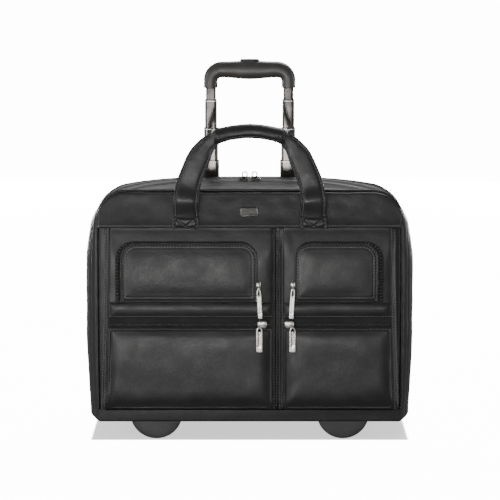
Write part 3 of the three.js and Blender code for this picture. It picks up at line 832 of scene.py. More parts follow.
def front_gusset():
    """The front half of the side and top gusset: a padded band, a sewn seam and the zip's border."""
    build = Build()
    outer = [(FRONT + 0.4 * MM, 2.6 * MM)]
    outer += padded_run(FRONT + 0.8 * MM, SEAM, 1.3 * MM, 22)
    outer += padded_run(SEAM + 0.15 * MM, ZIP_FRONT[0] - 1.6 * MM, 0.7 * MM, 34)
    outer += [(ZIP_FRONT[0] - 0.9 * MM, 1.4 * MM)]
    inner = [(y, SKIN + 1.2 * MM) for y, _ in reversed(outer[::6])]
    profile = outer + inner
    band(build, rim_above(SPLIT), profile)
    obj = build.object("front_gusset", 60)
    crumple(obj, 0.55 * MM)
    placed(obj, "front", "leather", ["front_shell"])


def crumple(obj, depth, size=26 * MM, seed=1.0):
    """Soft dents and fine puckers that real leather has, moved along the normals."""
    mesh = obj.data
    moves = []
    for v in mesh.vertices:
        broad = noise.noise(v.co / size + Vector((seed, 0, 0)))
        fine = noise.noise(v.co / (size * 0.3) + Vector((0, seed, 0)))
        moves.append(v.normal * depth * (broad + 0.3 * fine))
    for v, move in zip(mesh.vertices, moves):
        v.co += move
    mesh.update()


def panel_loop(low):
    """The closed front-view loop of the case above a height, with its straight foot."""
    upper = [p for p, _ in rim_above(low)]
    foot = [Vector((x, low)) for x, _ in bowed((upper[-1].x, low), (upper[0].x, low), (0, 0), 60)[1:-1]]
    return with_normals([tuple(p) for p in upper] + [tuple(p) for p in foot])


def front_panel():
    """The panel behind the pockets, with a rolled edge inside the piping."""
    build = Build()
    profile = [(4.6 * MM, FRONT + SKIN), (2.2 * MM, FRONT + 1.4 * MM), (2.6 * MM, FRONT - 0.2 * MM)]
    for inwards, outwards in quarter_turn():
        profile.append((3.2 * MM + 2.6 * MM * inwards, FRONT - 0.2 * MM - 5.4 * MM * outwards))
    profile += [(8 * MM, FRONT - 6.4 * MM), (11 * MM, FRONT - 6.6 * MM)]
    rounds(build, panel_loop(SPLIT - 2.4 * MM), profile, risen)
    build.piece("front_panel", 60, "front", "leather", "leather")


def front_lining():
    """The lining inside the opening front."""
    build = Build()
    loop = panel_loop(SPLIT + 1.5 * MM)
    back = FRONT + SKIN
    profile = [(5.2 * MM, back - 0.4 * MM), (5.4 * MM, back + 0.4 * MM), (6.4 * MM, back + 0.8 * MM)]
    rounds(build, loop, profile, risen)
    depths = [y * MM for y in (-57, -40, -20, -4.5)]
    band_rows = [(y, SKIN + 1.4 * MM) for y in depths]
    band_rows += [(y, SKIN + 1.9 * MM) for y in reversed(depths)]
    band(build, rim_above(SPLIT + 0.5 * MM), band_rows)
    build.piece("front_lining", 50, "front", "lining", "lining")


def base_skin():
    """The part below the opening front: bottom, low sides, and the padded strip along the front edge."""
    build = Build()
    strip = STRIP + 0.6 * MM
    outer = [(strip + 0.6 * MM, 5 * MM), (strip - 0.5 * MM, 3.0 * MM), (strip - 0.4 * MM, 1.2 * MM)]
    outer += padded_run(strip + 0.6 * MM, SEAM, 0.5 * MM, 10, 0.8 * MM)
    outer += padded_run(SEAM + 0.15 * MM, ZIP_REAR[1] - 1.0 * MM, 0.3 * MM, 20)
    inner = [(y, SKIN + 1.4 * MM) for y, _ in reversed(outer[3::4])]
    band(build, rim_below(SPLIT - 0.5 * MM), outer + inner)
    loop = strip_loop()
    face = STRIP - 2.4 * MM
    profile = [(1.6 * MM, STRIP + 2.6 * MM), (0.6 * MM, STRIP + 0.8 * MM)]
    for inwards, outwards in quarter_turn():
        profile.append((0.4 * MM + 2 * MM * inwards, lerp(STRIP + 0.6 * MM, face, outwards)))
    rounds(build, loop, profile)
    build.piece("base_skin", 60, "case", "leather", "leather", ["base_cover"])


def strip_loop():
    """The closed front-view loop of the strip below the opening front."""
    lower = [tuple(p) for p, _ in rim_below(SPLIT + 0.3 * MM)]
    roof = [(x, lower[0][1]) for x, _ in bowed(lower[-1], lower[0], (0, 0), 60)[1:-1]]
    return with_normals(lower + roof)


def rear_skin():
    """The rear half of the case: gusset, rolled edge and the panel behind the trolley."""
    build = Build()
    start = ZIP_REAR[1] + 1.2 * MM
    profile = [(SKIN + 1.2 * MM, start + 0.8 * MM), (1.6 * MM, start)]
    profile += [(inset, y) for y, inset in padded_run(start + 0.6 * MM, 44 * MM, 0.7 * MM, 22)]
    profile += [(inset, y) for y, inset in padded_run(44.2 * MM, BACK - 1.2 * MM, 0.8 * MM, 14)]
    for inwards, outwards in quarter_turn():
        profile.append((1.8 * MM + 3.8 * MM * inwards, BACK - 1.2 * MM + 2.2 * MM * outwards))
    profile.append((6.6 * MM, BACK + 0.9 * MM))
    rows = [[on_rim(place, inset, min(y, BACK)) + Vector((0, max(0, y - BACK), 0)) for place in RIM]
            for inset, y in profile]
    build.grid(rows, loop=True)
    edge = list(range(len(build.verts) - len(RIM), len(build.verts)))
    build.faces.append(tuple(edge))
    inner = [[on_rim(place, SKIN + 1.4 * MM, min(y, BACK)) for place in RIM]
             for y in (start + 0.8 * MM, 30 * MM, 45 * MM, BACK - 3.4 * MM)]
    ids = build.grid(inner, loop=True)
    build.faces.append(tuple(ids[-1]))
    first = list(range(len(RIM)))
    for k in range(len(RIM)):
        m = (k + 1) % len(RIM)
        build.faces.append((first[k], first[m], ids[0][m], ids[0][k]))
    obj = build.object("rear_skin", 60)
    cut_wells(obj)
    placed(obj, "case", "leather", ["rear_shell"])


WELL_X = (106.5 * MM, 141.5 * MM)
WELL_FRONT = 16 * MM
WELL_TOP = 74.5 * MM


def back_panel():
    """The padded panel of the back, sewn round its edge and across above the wheels."""
    flat = Plane(0, 0, 1, 0)

    def channels(x, z):
        across = sum(bell(z - height, 1.2 * MM) for height in (92 * MM, 300 * MM))
        return ripple((x, 0, z), 40 * MM, 0.7 * MM, 6.0) - 1.0 * MM * across

    patch = Patch(flat, (-EDGE + 7 * MM, EDGE - 7 * MM), (BOTTOM + 6 * MM, TOP - 6 * MM), 32 * MM, 5 * MM,
                  turned_edge(1.8 * MM, 2.5 * MM, 5 * MM, 0.8 * MM), channels, 5 * MM)
    turn = facing_back(BACK + 0.6 * MM)
    build, sewing = Build(), Build()
    patch.build(build, 2 * MM)
    obj = build.object("back_panel", 50)
    obj.data.transform(turn)
    cut_wells(obj)
    placed(obj, "case", "leather")
    patch.sew(sewing, 5 * MM, ["left", "top", "right"])
    thread_piece = sewing.object("back_stitching", 60)
    thread_piece.data.transform(turn)
    placed(thread_piece, "case", "thread")


def cut_wells(obj):
    """Cuts the two openings that the wheels stand in."""
    for side in (-1, 1):
        box = Build()
        box.block(sorted(side * x for x in WELL_X), (WELL_FRONT, BACK + 30 * MM), (-20 * MM, WELL_TOP))
        cutter = box.object("well_cutter", 10)
        modifier = obj.modifiers.new("well", "BOOLEAN")
        modifier.operation = "DIFFERENCE"
        modifier.solver = "EXACT"
        modifier.object = cutter
        apply_modifiers(obj)
        bpy.data.objects.remove(cutter)
    obj.data.shade_smooth()
    obj.data.set_sharp_from_angle(angle=math.radians(50))


def piping():
    """Leather cord along the front edge and the rear edge."""
    front_y = sum(span("front_piping", Y)) / 2
    rear_y = sum(span("rear_piping", Y)) / 2
    rows = (
        ("front_piping_cord", "front", "front_piping", rim_above(SPLIT + 0.6 * MM), front_y, 1.9 * MM, False),
        ("base_piping_cord", "case", None, rim_below(SPLIT - 0.7 * MM), front_y + 1.6 * MM, 1.5 * MM, False),
        ("rear_piping_cord", "case", "rear_piping", RIM, rear_y, 1.8 * MM, True),
    )
    for name, body, node, run, y, radius, closed in rows:
        build = Build()
        depth = min(y, BACK)
        spots = [on_rim(place, 0.9 * MM, depth) + Vector((0, y - depth, 0)) for place in run]
        lifts = [Vector((n.x, 0, n.y)) for _, n in run]
        cord(build, spots, radius, lifts, 12, closed)
        obj = build.object(name, 60)
        # The cords take the darker copy of the leather: painted shade of their groove.
        placed(obj, body, "piping_leather_painted_shade", [node] if node else ())


# ---------------------------------------------------------------- pockets

POCKET_BACK = span("pocket_left", Y)[1]
POCKET_FACE = span("pocket_left", Y)[0]
POCKET_LOW, POCKET_HIGH = span("pocket_left", Z)
SLOPE_FROM = 256 * MM
YOKE_LOW = span("yoke", Z)[0]
SIDES = {"left": span("pocket_left", X), "right": span("pocket_right", X)}
FLAP_LOW = span("pocket_flap_left", Z)[0] + 1.6 * MM
FLAP_HIGH = span("pocket_flap_left", Z)[1] + 4 * MM
FLAP_TAPE = 6.2 * MM                             # how far the tape shows past the flap's outer side
FLAP_LEFT = span("pocket_flap_left", X)
FLAP_RIGHT = span("pocket_flap_right", X)
FLAPS = {
    "left": (FLAP_LEFT[0] - FLAP_TAPE, FLAP_LEFT[1], FLAP_LOW, FLAP_HIGH),
    "right": (FLAP_RIGHT[0], FLAP_RIGHT[1] + FLAP_TAPE, FLAP_LOW, FLAP_HIGH),
}
SWELL_CAP = 3.2 * MM                             # the furthest that the cloth may move the leather
PUFF_FRAMES = 20
FLARE = 6.5 * MM                                 # how far a pocket's outer side bags out at its foot
ZIP_SEAM_HIGH = 183.5 * MM                       # where the upper panel meets the band
ZIP_TOP = 164.5 * MM
ZIP_BOTTOM = 151.5 * MM


def pocket_face(z):
    """How far forward a pocket's face is at height z, before padding."""
    back = smooth((z - SLOPE_FROM) / (POCKET_HIGH - SLOPE_FROM))
    low = clamp((POCKET_LOW + 7 * MM - z) / (7 * MM))
    return POCKET_FACE + 3.4 * MM + 4.2 * MM * back + 7 * MM * (1 - math.sqrt(1 - low ** 2))


def pocket_shell(side):
    """A stuffed leather pocket: a crowned bag, swollen by cloth pressure between its sewn edges."""
    low_x, high_x = SIDES[side]
    build = Build()
    rows = []
    across = 44 if side == "left" else 34
    for k in range(49):
        z = lerp(POCKET_LOW + 0.2 * MM, POCKET_HIGH, (k / 48) ** 1.2)
        row = []
        for i in range(across + 1):
            t = i / across
            x = lerp(low_x + 0.3 * MM, high_x - 0.3 * MM, 0.5 - 0.5 * math.cos(math.pi * t))
            edge = min(x - low_x, high_x - x)
            y = lerp(POCKET_BACK, pocket_face(z), 0.2 + 0.8 * rolled(edge, 5 * MM))
            row.append(Vector((x, y, z)))
        rows.append(row)
    backs = [[Vector((p.x, POCKET_BACK - 0.2 * MM, p.z)) for p in row] for row in rows]
    build.slab(rows, backs)
    obj = build.object(f"pocket_{side}", 60)
    puff(obj, side)
    modifier = obj.modifiers.new("smoother", "SUBSURF")
    modifier.levels = 1
    modifier.render_levels = 1
    apply_modifiers(obj)
    crumple(obj, 0.5 * MM, 40 * MM, 2.0)
    tighten(obj, side)
    obj.data.shade_smooth()
    return placed(obj, "front", "leather", [f"pocket_{side}"])


def tighten(obj, side):
    """Pulls the bag's sides and foot out flat to its seams, which the even mesh rounds off."""
    low_x, high_x = SIDES[side]
    middle = (low_x + high_x) / 2
    reach = max(abs(v.co.x - middle) for v in obj.data.vertices)
    grow = (high_x - low_x - 0.6 * MM) / 2 / reach
    foot = min(v.co.z for v in obj.data.vertices) - POCKET_LOW
    for v in obj.data.vertices:
        v.co.x = middle + (v.co.x - middle) * grow
        v.co.z -= foot * clamp(1 - (v.co.z - POCKET_LOW) / (40 * MM))


def puff(obj, side):
    """Blows the bag up as cloth, held at its back and along its sewn lines, then limits the move."""
    modifier = obj.modifiers.new("even", "REMESH")
    modifier.mode = "VOXEL"
    modifier.voxel_size = 4.5 * MM
    apply_modifiers(obj)
    low_x, high_x = SIDES[side]
    rest = [v.co.copy() for v in obj.data.vertices]
    pins = obj.vertex_groups.new(name="pins")
    for v in obj.data.vertices:
        held = v.co.y > POCKET_BACK - 5 * MM
        held = held or v.co.z > YOKE_LOW - 3 * MM
        held = held or abs(v.co.z - ZIP_TOP) < 5 * MM
        held = held or abs(v.co.z - ZIP_BOTTOM) < 5 * MM
        if held:
            pins.add([v.index], 1.0, "REPLACE")
    cloth = obj.modifiers.new("cloth", "CLOTH")
    settings = cloth.settings
    settings.use_pressure = True
    settings.uniform_pressure_force = 4
    settings.vertex_group_mass = "pins"
    settings.effector_weights.gravity = 0
    settings.tension_stiffness = 12
    settings.bending_stiffness = 2
    cloth.point_cache.frame_start = 1
    cloth.point_cache.frame_end = PUFF_FRAMES
    for frame_number in range(1, PUFF_FRAMES + 1):
        bpy.context.scene.frame_set(frame_number)
    apply_modifiers(obj)
    bpy.context.scene.frame_set(1)
    for v, start in zip(obj.data.vertices, rest):
        move = v.co - start
        if move.length > SWELL_CAP:
            v.co = start + move * (SWELL_CAP / move.length)
        v.co.y = max(v.co.y, POCKET_FACE - 0.4 * MM)
        v.co.x = clamp(v.co.x, low_x + 0.3 * MM, high_x - 0.3 * MM)
        v.co.z = clamp(v.co.z, POCKET_LOW + 0.3 * MM, POCKET_HIGH)


def flared(obj, side):
    """Bags the pocket out sideways towards its foot, where it is fullest."""
    low_x, high_x = SIDES[side]
    outer, way = (low_x, -1) if side == "left" else (high_x, 1)
    for v in obj.data.vertices:
        share = smooth(1 - abs(v.co.x - outer) / (58 * MM))
        drop = clamp(1 - (v.co.z - POCKET_LOW) / (205 * MM))
        v.co.x += way * FLARE * drop ** 1.25 * share
    return obj


class Skin:
    """The front surface of a finished piece as a smoothed map of depths over the front view."""

    STEP = 2.4 * MM

    def __init__(self, obj, x_range, z_range):
        faces = [list(face.vertices) for face in obj.data.polygons]
        tree = BVHTree.FromPolygons([v.co.copy() for v in obj.data.vertices], faces)
        self.x, self.z = x_range[0], z_range[0]
        self.columns = math.ceil((x_range[1] - x_range[0]) / self.STEP) + 1
        self.rows = math.ceil((z_range[1] - z_range[0]) / self.STEP) + 1
        self.depths = [[self.probe(tree, i, k) for i in range(self.columns)] for k in range(self.rows)]
        for _ in range(2):
            self.depths = [[self.blurred(i, k) for i in range(self.columns)] for k in range(self.rows)]

    def probe(self, tree, i, k):
        start = Vector((self.x + i * self.STEP, -0.5, self.z + k * self.STEP))
        spot = tree.ray_cast(start, Vector((0, 1, 0)))[0]
        return POCKET_FACE + 8 * MM if spot is None else spot.y

    def cell(self, i, k):
        return self.depths[max(0, min(self.rows - 1, k))][max(0, min(self.columns - 1, i))]

    def blurred(self, i, k):
        near = self.cell(i - 1, k) + self.cell(i + 1, k) + self.cell(i, k - 1) + self.cell(i, k + 1)
        return (2 * self.cell(i, k) + near) / 6

    def depth(self, x, z):
        u = clamp((x - self.x) / self.STEP, 0, self.columns - 1.001)
        w = clamp((z - self.z) / self.STEP, 0, self.rows - 1.001)
        i, k = int(u), int(w)
        low = lerp(self.cell(i, k), self.cell(i + 1, k), u - i)
        high = lerp(self.cell(i, k + 1), self.cell(i + 1, k + 1), u - i)
        return lerp(low, high, w - k)

    def on(self, x, z, lift):
        """A point laid on the skin and the direction away from it."""
        reach = 2 * MM
        slope_x = (self.depth(x + reach, z) - self.depth(x - reach, z)) / (2 * reach)
        slope_z = (self.depth(x, z + reach) - self.depth(x, z - reach)) / (2 * reach)
        normal = Vector((slope_x, -1, slope_z)).normalized()
        return Vector((x, self.depth(x, z), z)) + normal * lift, normal


class Plane:
    """A flat or leaning front surface: its depth at two heights."""

    def __init__(self, low_z, low_y, high_z, high_y):
        self.slope = (high_y - low_y) / (high_z - low_z)
        self.low_z, self.low_y = low_z, low_y

    def on(self, x, z, lift):
        normal = Vector((0, -1, self.slope)).normalized()
        return Vector((x, self.low_y + (z - self.low_z) * self.slope, z)) + normal * lift, normal


def flat_front(low, high, y):
    """A flat front at one depth between two corners."""
    return Plane(low.z, y, high.z, y)


def facing_back(y):
    """Turns a piece made for the front so that it faces backwards from depth y."""
    return Matrix.Translation((0, y, 0)) @ Matrix.Rotation(math.pi, 4, "Z")


EDGE_STEPS = [0, 0.12, 0.3, 0.6, 1, 1.5, 2.1, 2.8, 3.6, 4.5, 5.6, 7, 8.4, 9.6, 11.5, 14, 18]


def stations(low, high, spacing):
    """Places from low to high, close together near both ends."""
    reach = (high - low) / 2
    near = [d * MM for d in EDGE_STEPS if d * MM < reach * 0.98]
    middle = high - low - 2 * near[-1]
    count = max(1, round(middle / spacing))
    between = [low + near[-1] + middle * i / count for i in range(1, count)]
    return [low + d for d in near] + between + [high - d for d in reversed(near)]


class Patch:
    """A rounded rectangle of leather laid on a skin, its thickness given by the distance to its edge."""

    def __init__(self, skin, x_range, z_range, radius, foot_radius, lift_at, shape=None, spacing=7 * MM):
        self.skin = skin
        self.shape = shape
        self.spacing = spacing
        self.x, self.z = x_range, z_range
        self.radius, self.foot_radius = radius, foot_radius
        self.lift_at = lift_at

    def corner(self, z):
        """The radius of the nearer end and how far z is from that end."""
        if z > sum(self.z) / 2:
            return self.radius, self.z[1] - z
        return self.foot_radius, z - self.z[0]

    def ends(self, z):
        r, away = self.corner(z)
        pull = r - math.sqrt(max(r * r - max(r - away, 0) ** 2, 0))
        return self.x[0] + pull, self.x[1] - pull

    def inside(self, x, z):
        """How far a point is inside the edge."""
        r, away = self.corner(z)
        side = min(x - self.x[0], self.x[1] - x)
        if side < r and away < r:
            return r - math.hypot(r - side, r - away)
        return min(side, away)

    def point(self, x, z, extra=0.0):
        lift = self.lift_at(max(self.inside(x, z), 0)) + extra
        return self.skin.on(x, z, lift + self.shape(x, z) if self.shape else lift)

    def build(self, build, depth=2.4 * MM):
        fronts = []
        for z in stations(*self.z, self.spacing):
            a, b = self.ends(z)
            fronts.append([self.point(x, z)[0] for x in self.columns(a, b)])
        backs = [[p + Vector((0, depth, 0)) for p in row] for row in fronts]
        build.slab(fronts, backs)

    def columns(self, a, b):
        whole = stations(*self.x, self.spacing)
        share = (b - a) / (self.x[1] - self.x[0])
        middle = (a + b) / 2
        half = (self.x[1] - self.x[0]) / 2
        result = []
        for x in whole:
            away = half - abs(x - sum(self.x) / 2)
            near = clamp(away / (20 * MM))
            squeeze = lerp((b - a) / 2 - away, abs(x - sum(self.x) / 2) * share, near)
            result.append(middle + math.copysign(max(squeeze, 0), x - sum(self.x) / 2))
        return result

    def path(self, inset, sides):
        """The line at an inset from the edge, along the wanted sides: any of left, top, right, low."""
        a, b = self.x[0] + inset, self.x[1] - inset
        low, high = self.z[0] + inset, self.z[1] - inset
        r = max(self.radius - inset, 0.3 * MM)
        q = max(self.foot_radius - inset, 0.3 * MM)
        half = math.pi / 2
        points = []
        if "left" in sides:
            points += [(a, low + q), (a, high - r)]
        if "top" in sides:
            points += arc(a + r, high - r, r, math.pi, half, 12) + arc(b - r, high - r, r, half, 0, 12)
        if "right" in sides:
            points += [(b, high - r), (b, low + q)]
        if "low" in sides:
            points += [(b - q, low), (a + q, low)]
        return points

    def sew(self, build, inset, sides):
        """Stitches along the line at an inset from the edge."""
        sew_line(build, self, [Vector((x, 0, z)) for x, z in self.path(inset, sides)])


def lay_stitches(build, spots, normals):
    for i, (p, along, side, up) in enumerate(frames_along(spots, normals)):
        turn = 0.12 * math.sin(i * 12.9898)
        stitch(build, p, (along + side * turn).normalized(), side, up)


def sew_line(build, patch, line):
    """Stitches laid on a patch along a line in the front view."""
    laid = [patch.point(p.x, p.z, 0.1 * MM) for p in resampled(line, STITCH_STEP)]
    lay_stitches(build, [p for p, _ in laid], [n for _, n in laid])


def sew_seam(build, spots, lifts, step=STITCH_STEP):
    """Stitches along places in space, each with the direction away from the leather there."""
    even = resampled(spots, step)
    lay_stitches(build, even, spread(lifts, len(even)))


def turned_edge(thick, width, seam=None, puff=0.0):
    """Thickness against distance from the edge: a soft roll, a groove where it is sewn, then padding."""

    def lift(away):
        t = clamp(away / width)
        height = thick * math.sqrt(1 - (1 - t) ** 2)
        if seam:
            height -= 0.55 * thick * bell(away - seam, 0.8 * MM)
        return height + puff * smooth((away - (seam or width)) / (10 * MM))

    return lift


# ---------------------------------------------------------------- pocket details

COIL_PITCH = 2.4 * MM
FLAP_PITCH = 4.2 * MM                            # the bigger teeth of the arched pockets
BORDER = 8.4 * MM
INNER_BORDER = 6.4 * MM
UPPER_EDGE = YOKE_LOW + 3 * MM


def pocket_patches(side):
    """The leather panels of a pocket's face, by name."""
    low_x, high_x = SIDES[side]
    skin = skins[side]
    left_in, right_in = (BORDER, INNER_BORDER) if side == "left" else (INNER_BORDER, BORDER)
    face = (low_x + left_in, high_x - right_in)
    border_z = (POCKET_LOW + 1.5 * MM, UPPER_EDGE)
    edge = turned_edge(1.0 * MM, 1.0 * MM)

    def across_band(away):
        return 0.8 * MM + 2.1 * MM * math.sin(math.pi / 2 * clamp(away / (9 * MM))) ** 0.8

    return {
        "left_border": Patch(skin, (low_x + 1 * MM, face[0] - 0.2 * MM), border_z, 1 * MM, 1 * MM, edge),
        "right_border": Patch(skin, (face[1] + 0.2 * MM, high_x - 1 * MM), border_z, 1 * MM, 1 * MM, edge),
        "lower": Patch(skin, (face[0] + 0.1 * MM, face[1] - 0.1 * MM), (POCKET_LOW + 2.5 * MM, ZIP_BOTTOM),
                       2.5 * MM, 7 * MM, turned_edge(1.7 * MM, 1.6 * MM, 3.0 * MM, 0.8 * MM)),
        "band": Patch(skin, (face[0] + 0.1 * MM, face[1] - 0.1 * MM), (ZIP_TOP, ZIP_SEAM_HIGH),
                      1 * MM, 1 * MM, across_band),
        "upper": Patch(skin, (face[0] + 0.1 * MM, face[1] - 0.1 * MM), (ZIP_SEAM_HIGH + 0.3 * MM, UPPER_EDGE),
                       1 * MM, 1 * MM, turned_edge(1.1 * MM, 1.2 * MM)),
    }


def pocket_front(side):
    """The face of a pocket: two borders, a lower panel, the band over the zip and the upper panel."""
    patches = pocket_patches(side)
    faces, borders, sewing = Build(), Build(), Build()
    for name in ("lower", "band", "upper"):
        patches[name].build(faces)
    for name in ("left_border", "right_border"):
        patches[name].build(borders)
        for inset in (1.5 * MM, 4.7 * MM) if "left" in name else (4.7 * MM, 1.5 * MM):
            patches[name].sew(sewing, inset, ["left"])
    patches["lower"].sew(sewing, 2.6 * MM, ["top"])
    patches["band"].sew(sewing, 2.0 * MM, ["low"])
    obj = faces.object(f"pocket_face_{side}", 50)
    crumple(obj, 0.42 * MM, 30 * MM, 5.0)
    placed(flared(obj, side), "front", "leather")
    obj = borders.object(f"pocket_border_{side}", 50)
    crumple(obj, 0.2 * MM, 30 * MM, 7.0)
    placed(flared(obj, side), "front", "leather")
    placed(flared(sewing.object(f"pocket_stitching_{side}", 60), side), "front", "thread")
    return patches


def coil_tooth(build, spot, along, across, lift, size=1.0):
    """One turn of the coil: a short bar across the zip, its two ends bent down."""
    half = 2.3 * MM
    rows = []
    for t in (-1, -0.8, -0.35, 0.15, 0.6, 1):
        drop = 0.9 * MM * abs(t) ** 4
        middle = spot + across * (t * half) + along * (0.5 * MM * t) - lift * drop
        ring = section(1.5 * MM * size, 1.3 * MM * size, 2, 6)
        rows.append([middle + along * u + lift * v for u, v in ring])
    build.tube(rows)


def straight_zip(side, patches):
    """The zip under the band: woven tape in a slot with the closed coil along it."""
    skin = skins[side]
    low_x, high_x = patches["lower"].x
    tape = Patch(skin, (low_x - 1 * MM, high_x + 1 * MM), (ZIP_BOTTOM - 1.5 * MM, ZIP_TOP + 1.5 * MM),
                 0.5 * MM, 0.5 * MM, lambda _: 0.3 * MM)
    build = Build()
    tape.build(build)
    placed(flared(build.object(f"zip_tape_{side}", 50), side), "front", "zip_tape")
    teeth = Build()
    row = ZIP_BOTTOM + 3.4 * MM
    for i in range(round((high_x - low_x) / COIL_PITCH)):
        spot, normal = skin.on(low_x + (i + 0.5) * COIL_PITCH, row, 0.8 * MM)
        coil_tooth(teeth, spot, Vector((1, 0, 0)), Vector((0, 0, 1)), normal)
    placed(flared(teeth.object(f"zip_coil_{side}", 60), side), "front", "coil")


def flap(side):
    """The arched zipped pocket: padded leather with a rolled, double-sewn rim, on its zip's tape."""
    low_x, high_x, low_z, high_z = FLAPS[side]
    outer_left = side == "left"
    skin = skins[side]
    x_range = (low_x + FLAP_TAPE, high_x) if outer_left else (low_x, high_x - FLAP_TAPE)
    foot = low_z - 0.2 * MM
    seams = (3.4 * MM, 6.6 * MM)

    def rim(away):
        roll = 2.5 * MM * rolled(away, 1.5 * MM)
        sewn = bell(away - seams[0], 0.9 * MM)
        second = bell(away - seams[1], 0.9 * MM)
        padding = 0.9 * MM * smooth((away - 8 * MM) / (14 * MM))
        return 1.0 * MM + roll - 0.9 * MM * sewn - 0.6 * MM * second + padding

    cover = Patch(skin, x_range, (foot, high_z), 21 * MM, 0.5 * MM, rim)
    tape = Patch(skin, (low_x, high_x), (foot, high_z + 1.5 * MM), 23 * MM, 0.5 * MM, lambda _: 1.35 * MM)
    build, sewing, under = Build(), Build(), Build()
    cover.build(build, 3.2 * MM)
    tape.build(under)
    obj = build.object(f"flap_{side}", 50)
    crumple(obj, 0.4 * MM, 24 * MM, 9.0 if outer_left else 11.0)
    placed(obj, "front", "leather", [f"pocket_flap_{side}"])
    under.piece(f"flap_tape_{side}", 50, "front", "zip_nylon", "zip_tape")
    for inset in seams:
        cover.sew(sewing, inset, ["left", "top", "right"])
    sewing.piece(f"flap_stitching_{side}", 60, "front", "leather", "thread")
    flap_coil(side, tape)


def flap_coil(side, tape):
    """The exposed teeth up the outer side of an arched pocket and round its corner."""
    outer_left = side == "left"
    line = [Vector((x, 0, z)) for x, z in tape.path(3.2 * MM, ["left", "top", "right"])]
    middle = sum(tape.x) / 2
    kept = [p for p in line if (p.x < middle) == outer_left]
    build = Build()
    for p, along, side_way, _ in frames_along(resampled(kept, FLAP_PITCH), (0, -1, 0)):
        spot, normal = tape.point(p.x, p.z, 1.2 * MM)
        coil_tooth(build, spot, along, side_way, normal, 1.5)
    build.piece(f"flap_coil_{side}", 60, "front", "zip_nylon", "coil")


# ---------------------------------------------------------------- yoke, badge and carry handle

YOKE_FACE = Plane(283 * MM, -75.4 * MM, 322 * MM, -69.6 * MM)


def yoke():
    """The padded leather yoke: a rolled lower edge that overhangs the pockets, and a row of stitches."""
    inset = 3.4 * MM
    half = EDGE + BOW - inset

    def puffed(x, z):
        low = 1 - clamp((z - YOKE_LOW) / (16 * MM))
        crease = ripple((x, 0, z), 15 * MM, 0.5 * MM, 3.0)
        return 1.3 * MM * low ** 2 + crease * (1 - low)

    top = TOP + FRONT_RISE + BOW - inset
    patch = Patch(YOKE_FACE, (-half, half), (YOKE_LOW, top), TOP_RADIUS - inset, 1.5 * MM,
                  turned_edge(2.6 * MM, 2.4 * MM), puffed, 5 * MM)
    build = Build()
    patch.build(build, 6 * MM)
    obj = build.object("yoke", 50)
    crumple(obj, 0.45 * MM, 34 * MM, 4.0)
    placed(obj, "front", "leather", ["yoke"])
    sewing = Build()
    patch.sew(sewing, 3.4 * MM, ["low"])
    sewing.piece("yoke_stitching", 60, "front", "leather", "thread")


def badge():
    """A plain metal badge with a bevelled rim and a slightly sunk blank middle."""
    low, high = (corner + Vector((0, 0, 2.4 * MM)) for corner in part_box("badge"))
    middle_z = (low.z + high.z) / 2
    lean = YOKE_FACE.slope
    front_y = low.y + 0.9 * MM
    plane = Plane(middle_z - 5 * MM, front_y - 5 * MM * lean, middle_z + 5 * MM, front_y + 5 * MM * lean)

    def bevel(away):
        rise = 0.9 * MM * clamp(away / (0.9 * MM)) ** 0.7
        return rise - 0.5 * MM * smooth((away - 1.5 * MM) / (0.6 * MM))

    patch = Patch(plane, (low.x, high.x), (low.z + 0.2 * MM, high.z - 0.2 * MM), 3.6 * MM, 3.6 * MM,
                  bevel, None, 1.5 * MM)
    build = Build()
    patch.build(build, 1.4 * MM)
    build.piece("badge", 30, "front", "badge_metal", "badge_metal", ["badge"])


STRAP_LINE = ((85, 280), (84.6, 300), (84, 317), (78, 342), (67.5, 368), (57, 386.5), (44, 399))
STRAP_FOLD = 297 * MM
STRAP_THICK = 3.2 * MM
STRAP_SEAM = 3.2 * MM                            # how far the stitches are from the strap's edges
ACROSS = (0.25, 0.5, 0.72, 0.8, 0.87, 0.94, 0.985, 1)
GRIP_RADIUS = 9.4 * MM
GRIP_REACH, GRIP_LOW, GRIP_CONTROL = 46 * MM, 399 * MM, 415.6 * MM
GRIP_Y = sum(span("carry_grip", Y)) / 2


def curve_through(points, step):
    """A smooth curve through points, as evenly spaced places."""
    spots = [Vector(p) for p in points]
    ends = [2 * spots[0] - spots[1]] + spots + [2 * spots[-1] - spots[-2]]
    fine = []
    for a, b, c, d in zip(ends, ends[1:], ends[2:], ends[3:]):
        for k in range(12):
            t = k / 12
            fine.append(0.5 * (2 * b + (c - a) * t + (2 * a - 5 * b + 4 * c - d) * t ** 2
                               + (3 * b - a - 3 * c + d) * t ** 3))
    fine.append(spots[-1])
    return resampled(fine, step)


def strap_depth(z):
    """How far forward the strap lies: it bulges over the yoke's top edge and falls in to its sewn end."""
    base = -79.4 * MM
    belly = -5.2 * MM * bell(z - 318 * MM, 13 * MM)
    back = 2.6 * MM * smooth((z - 345 * MM) / (50 * MM))
    return base + belly + back


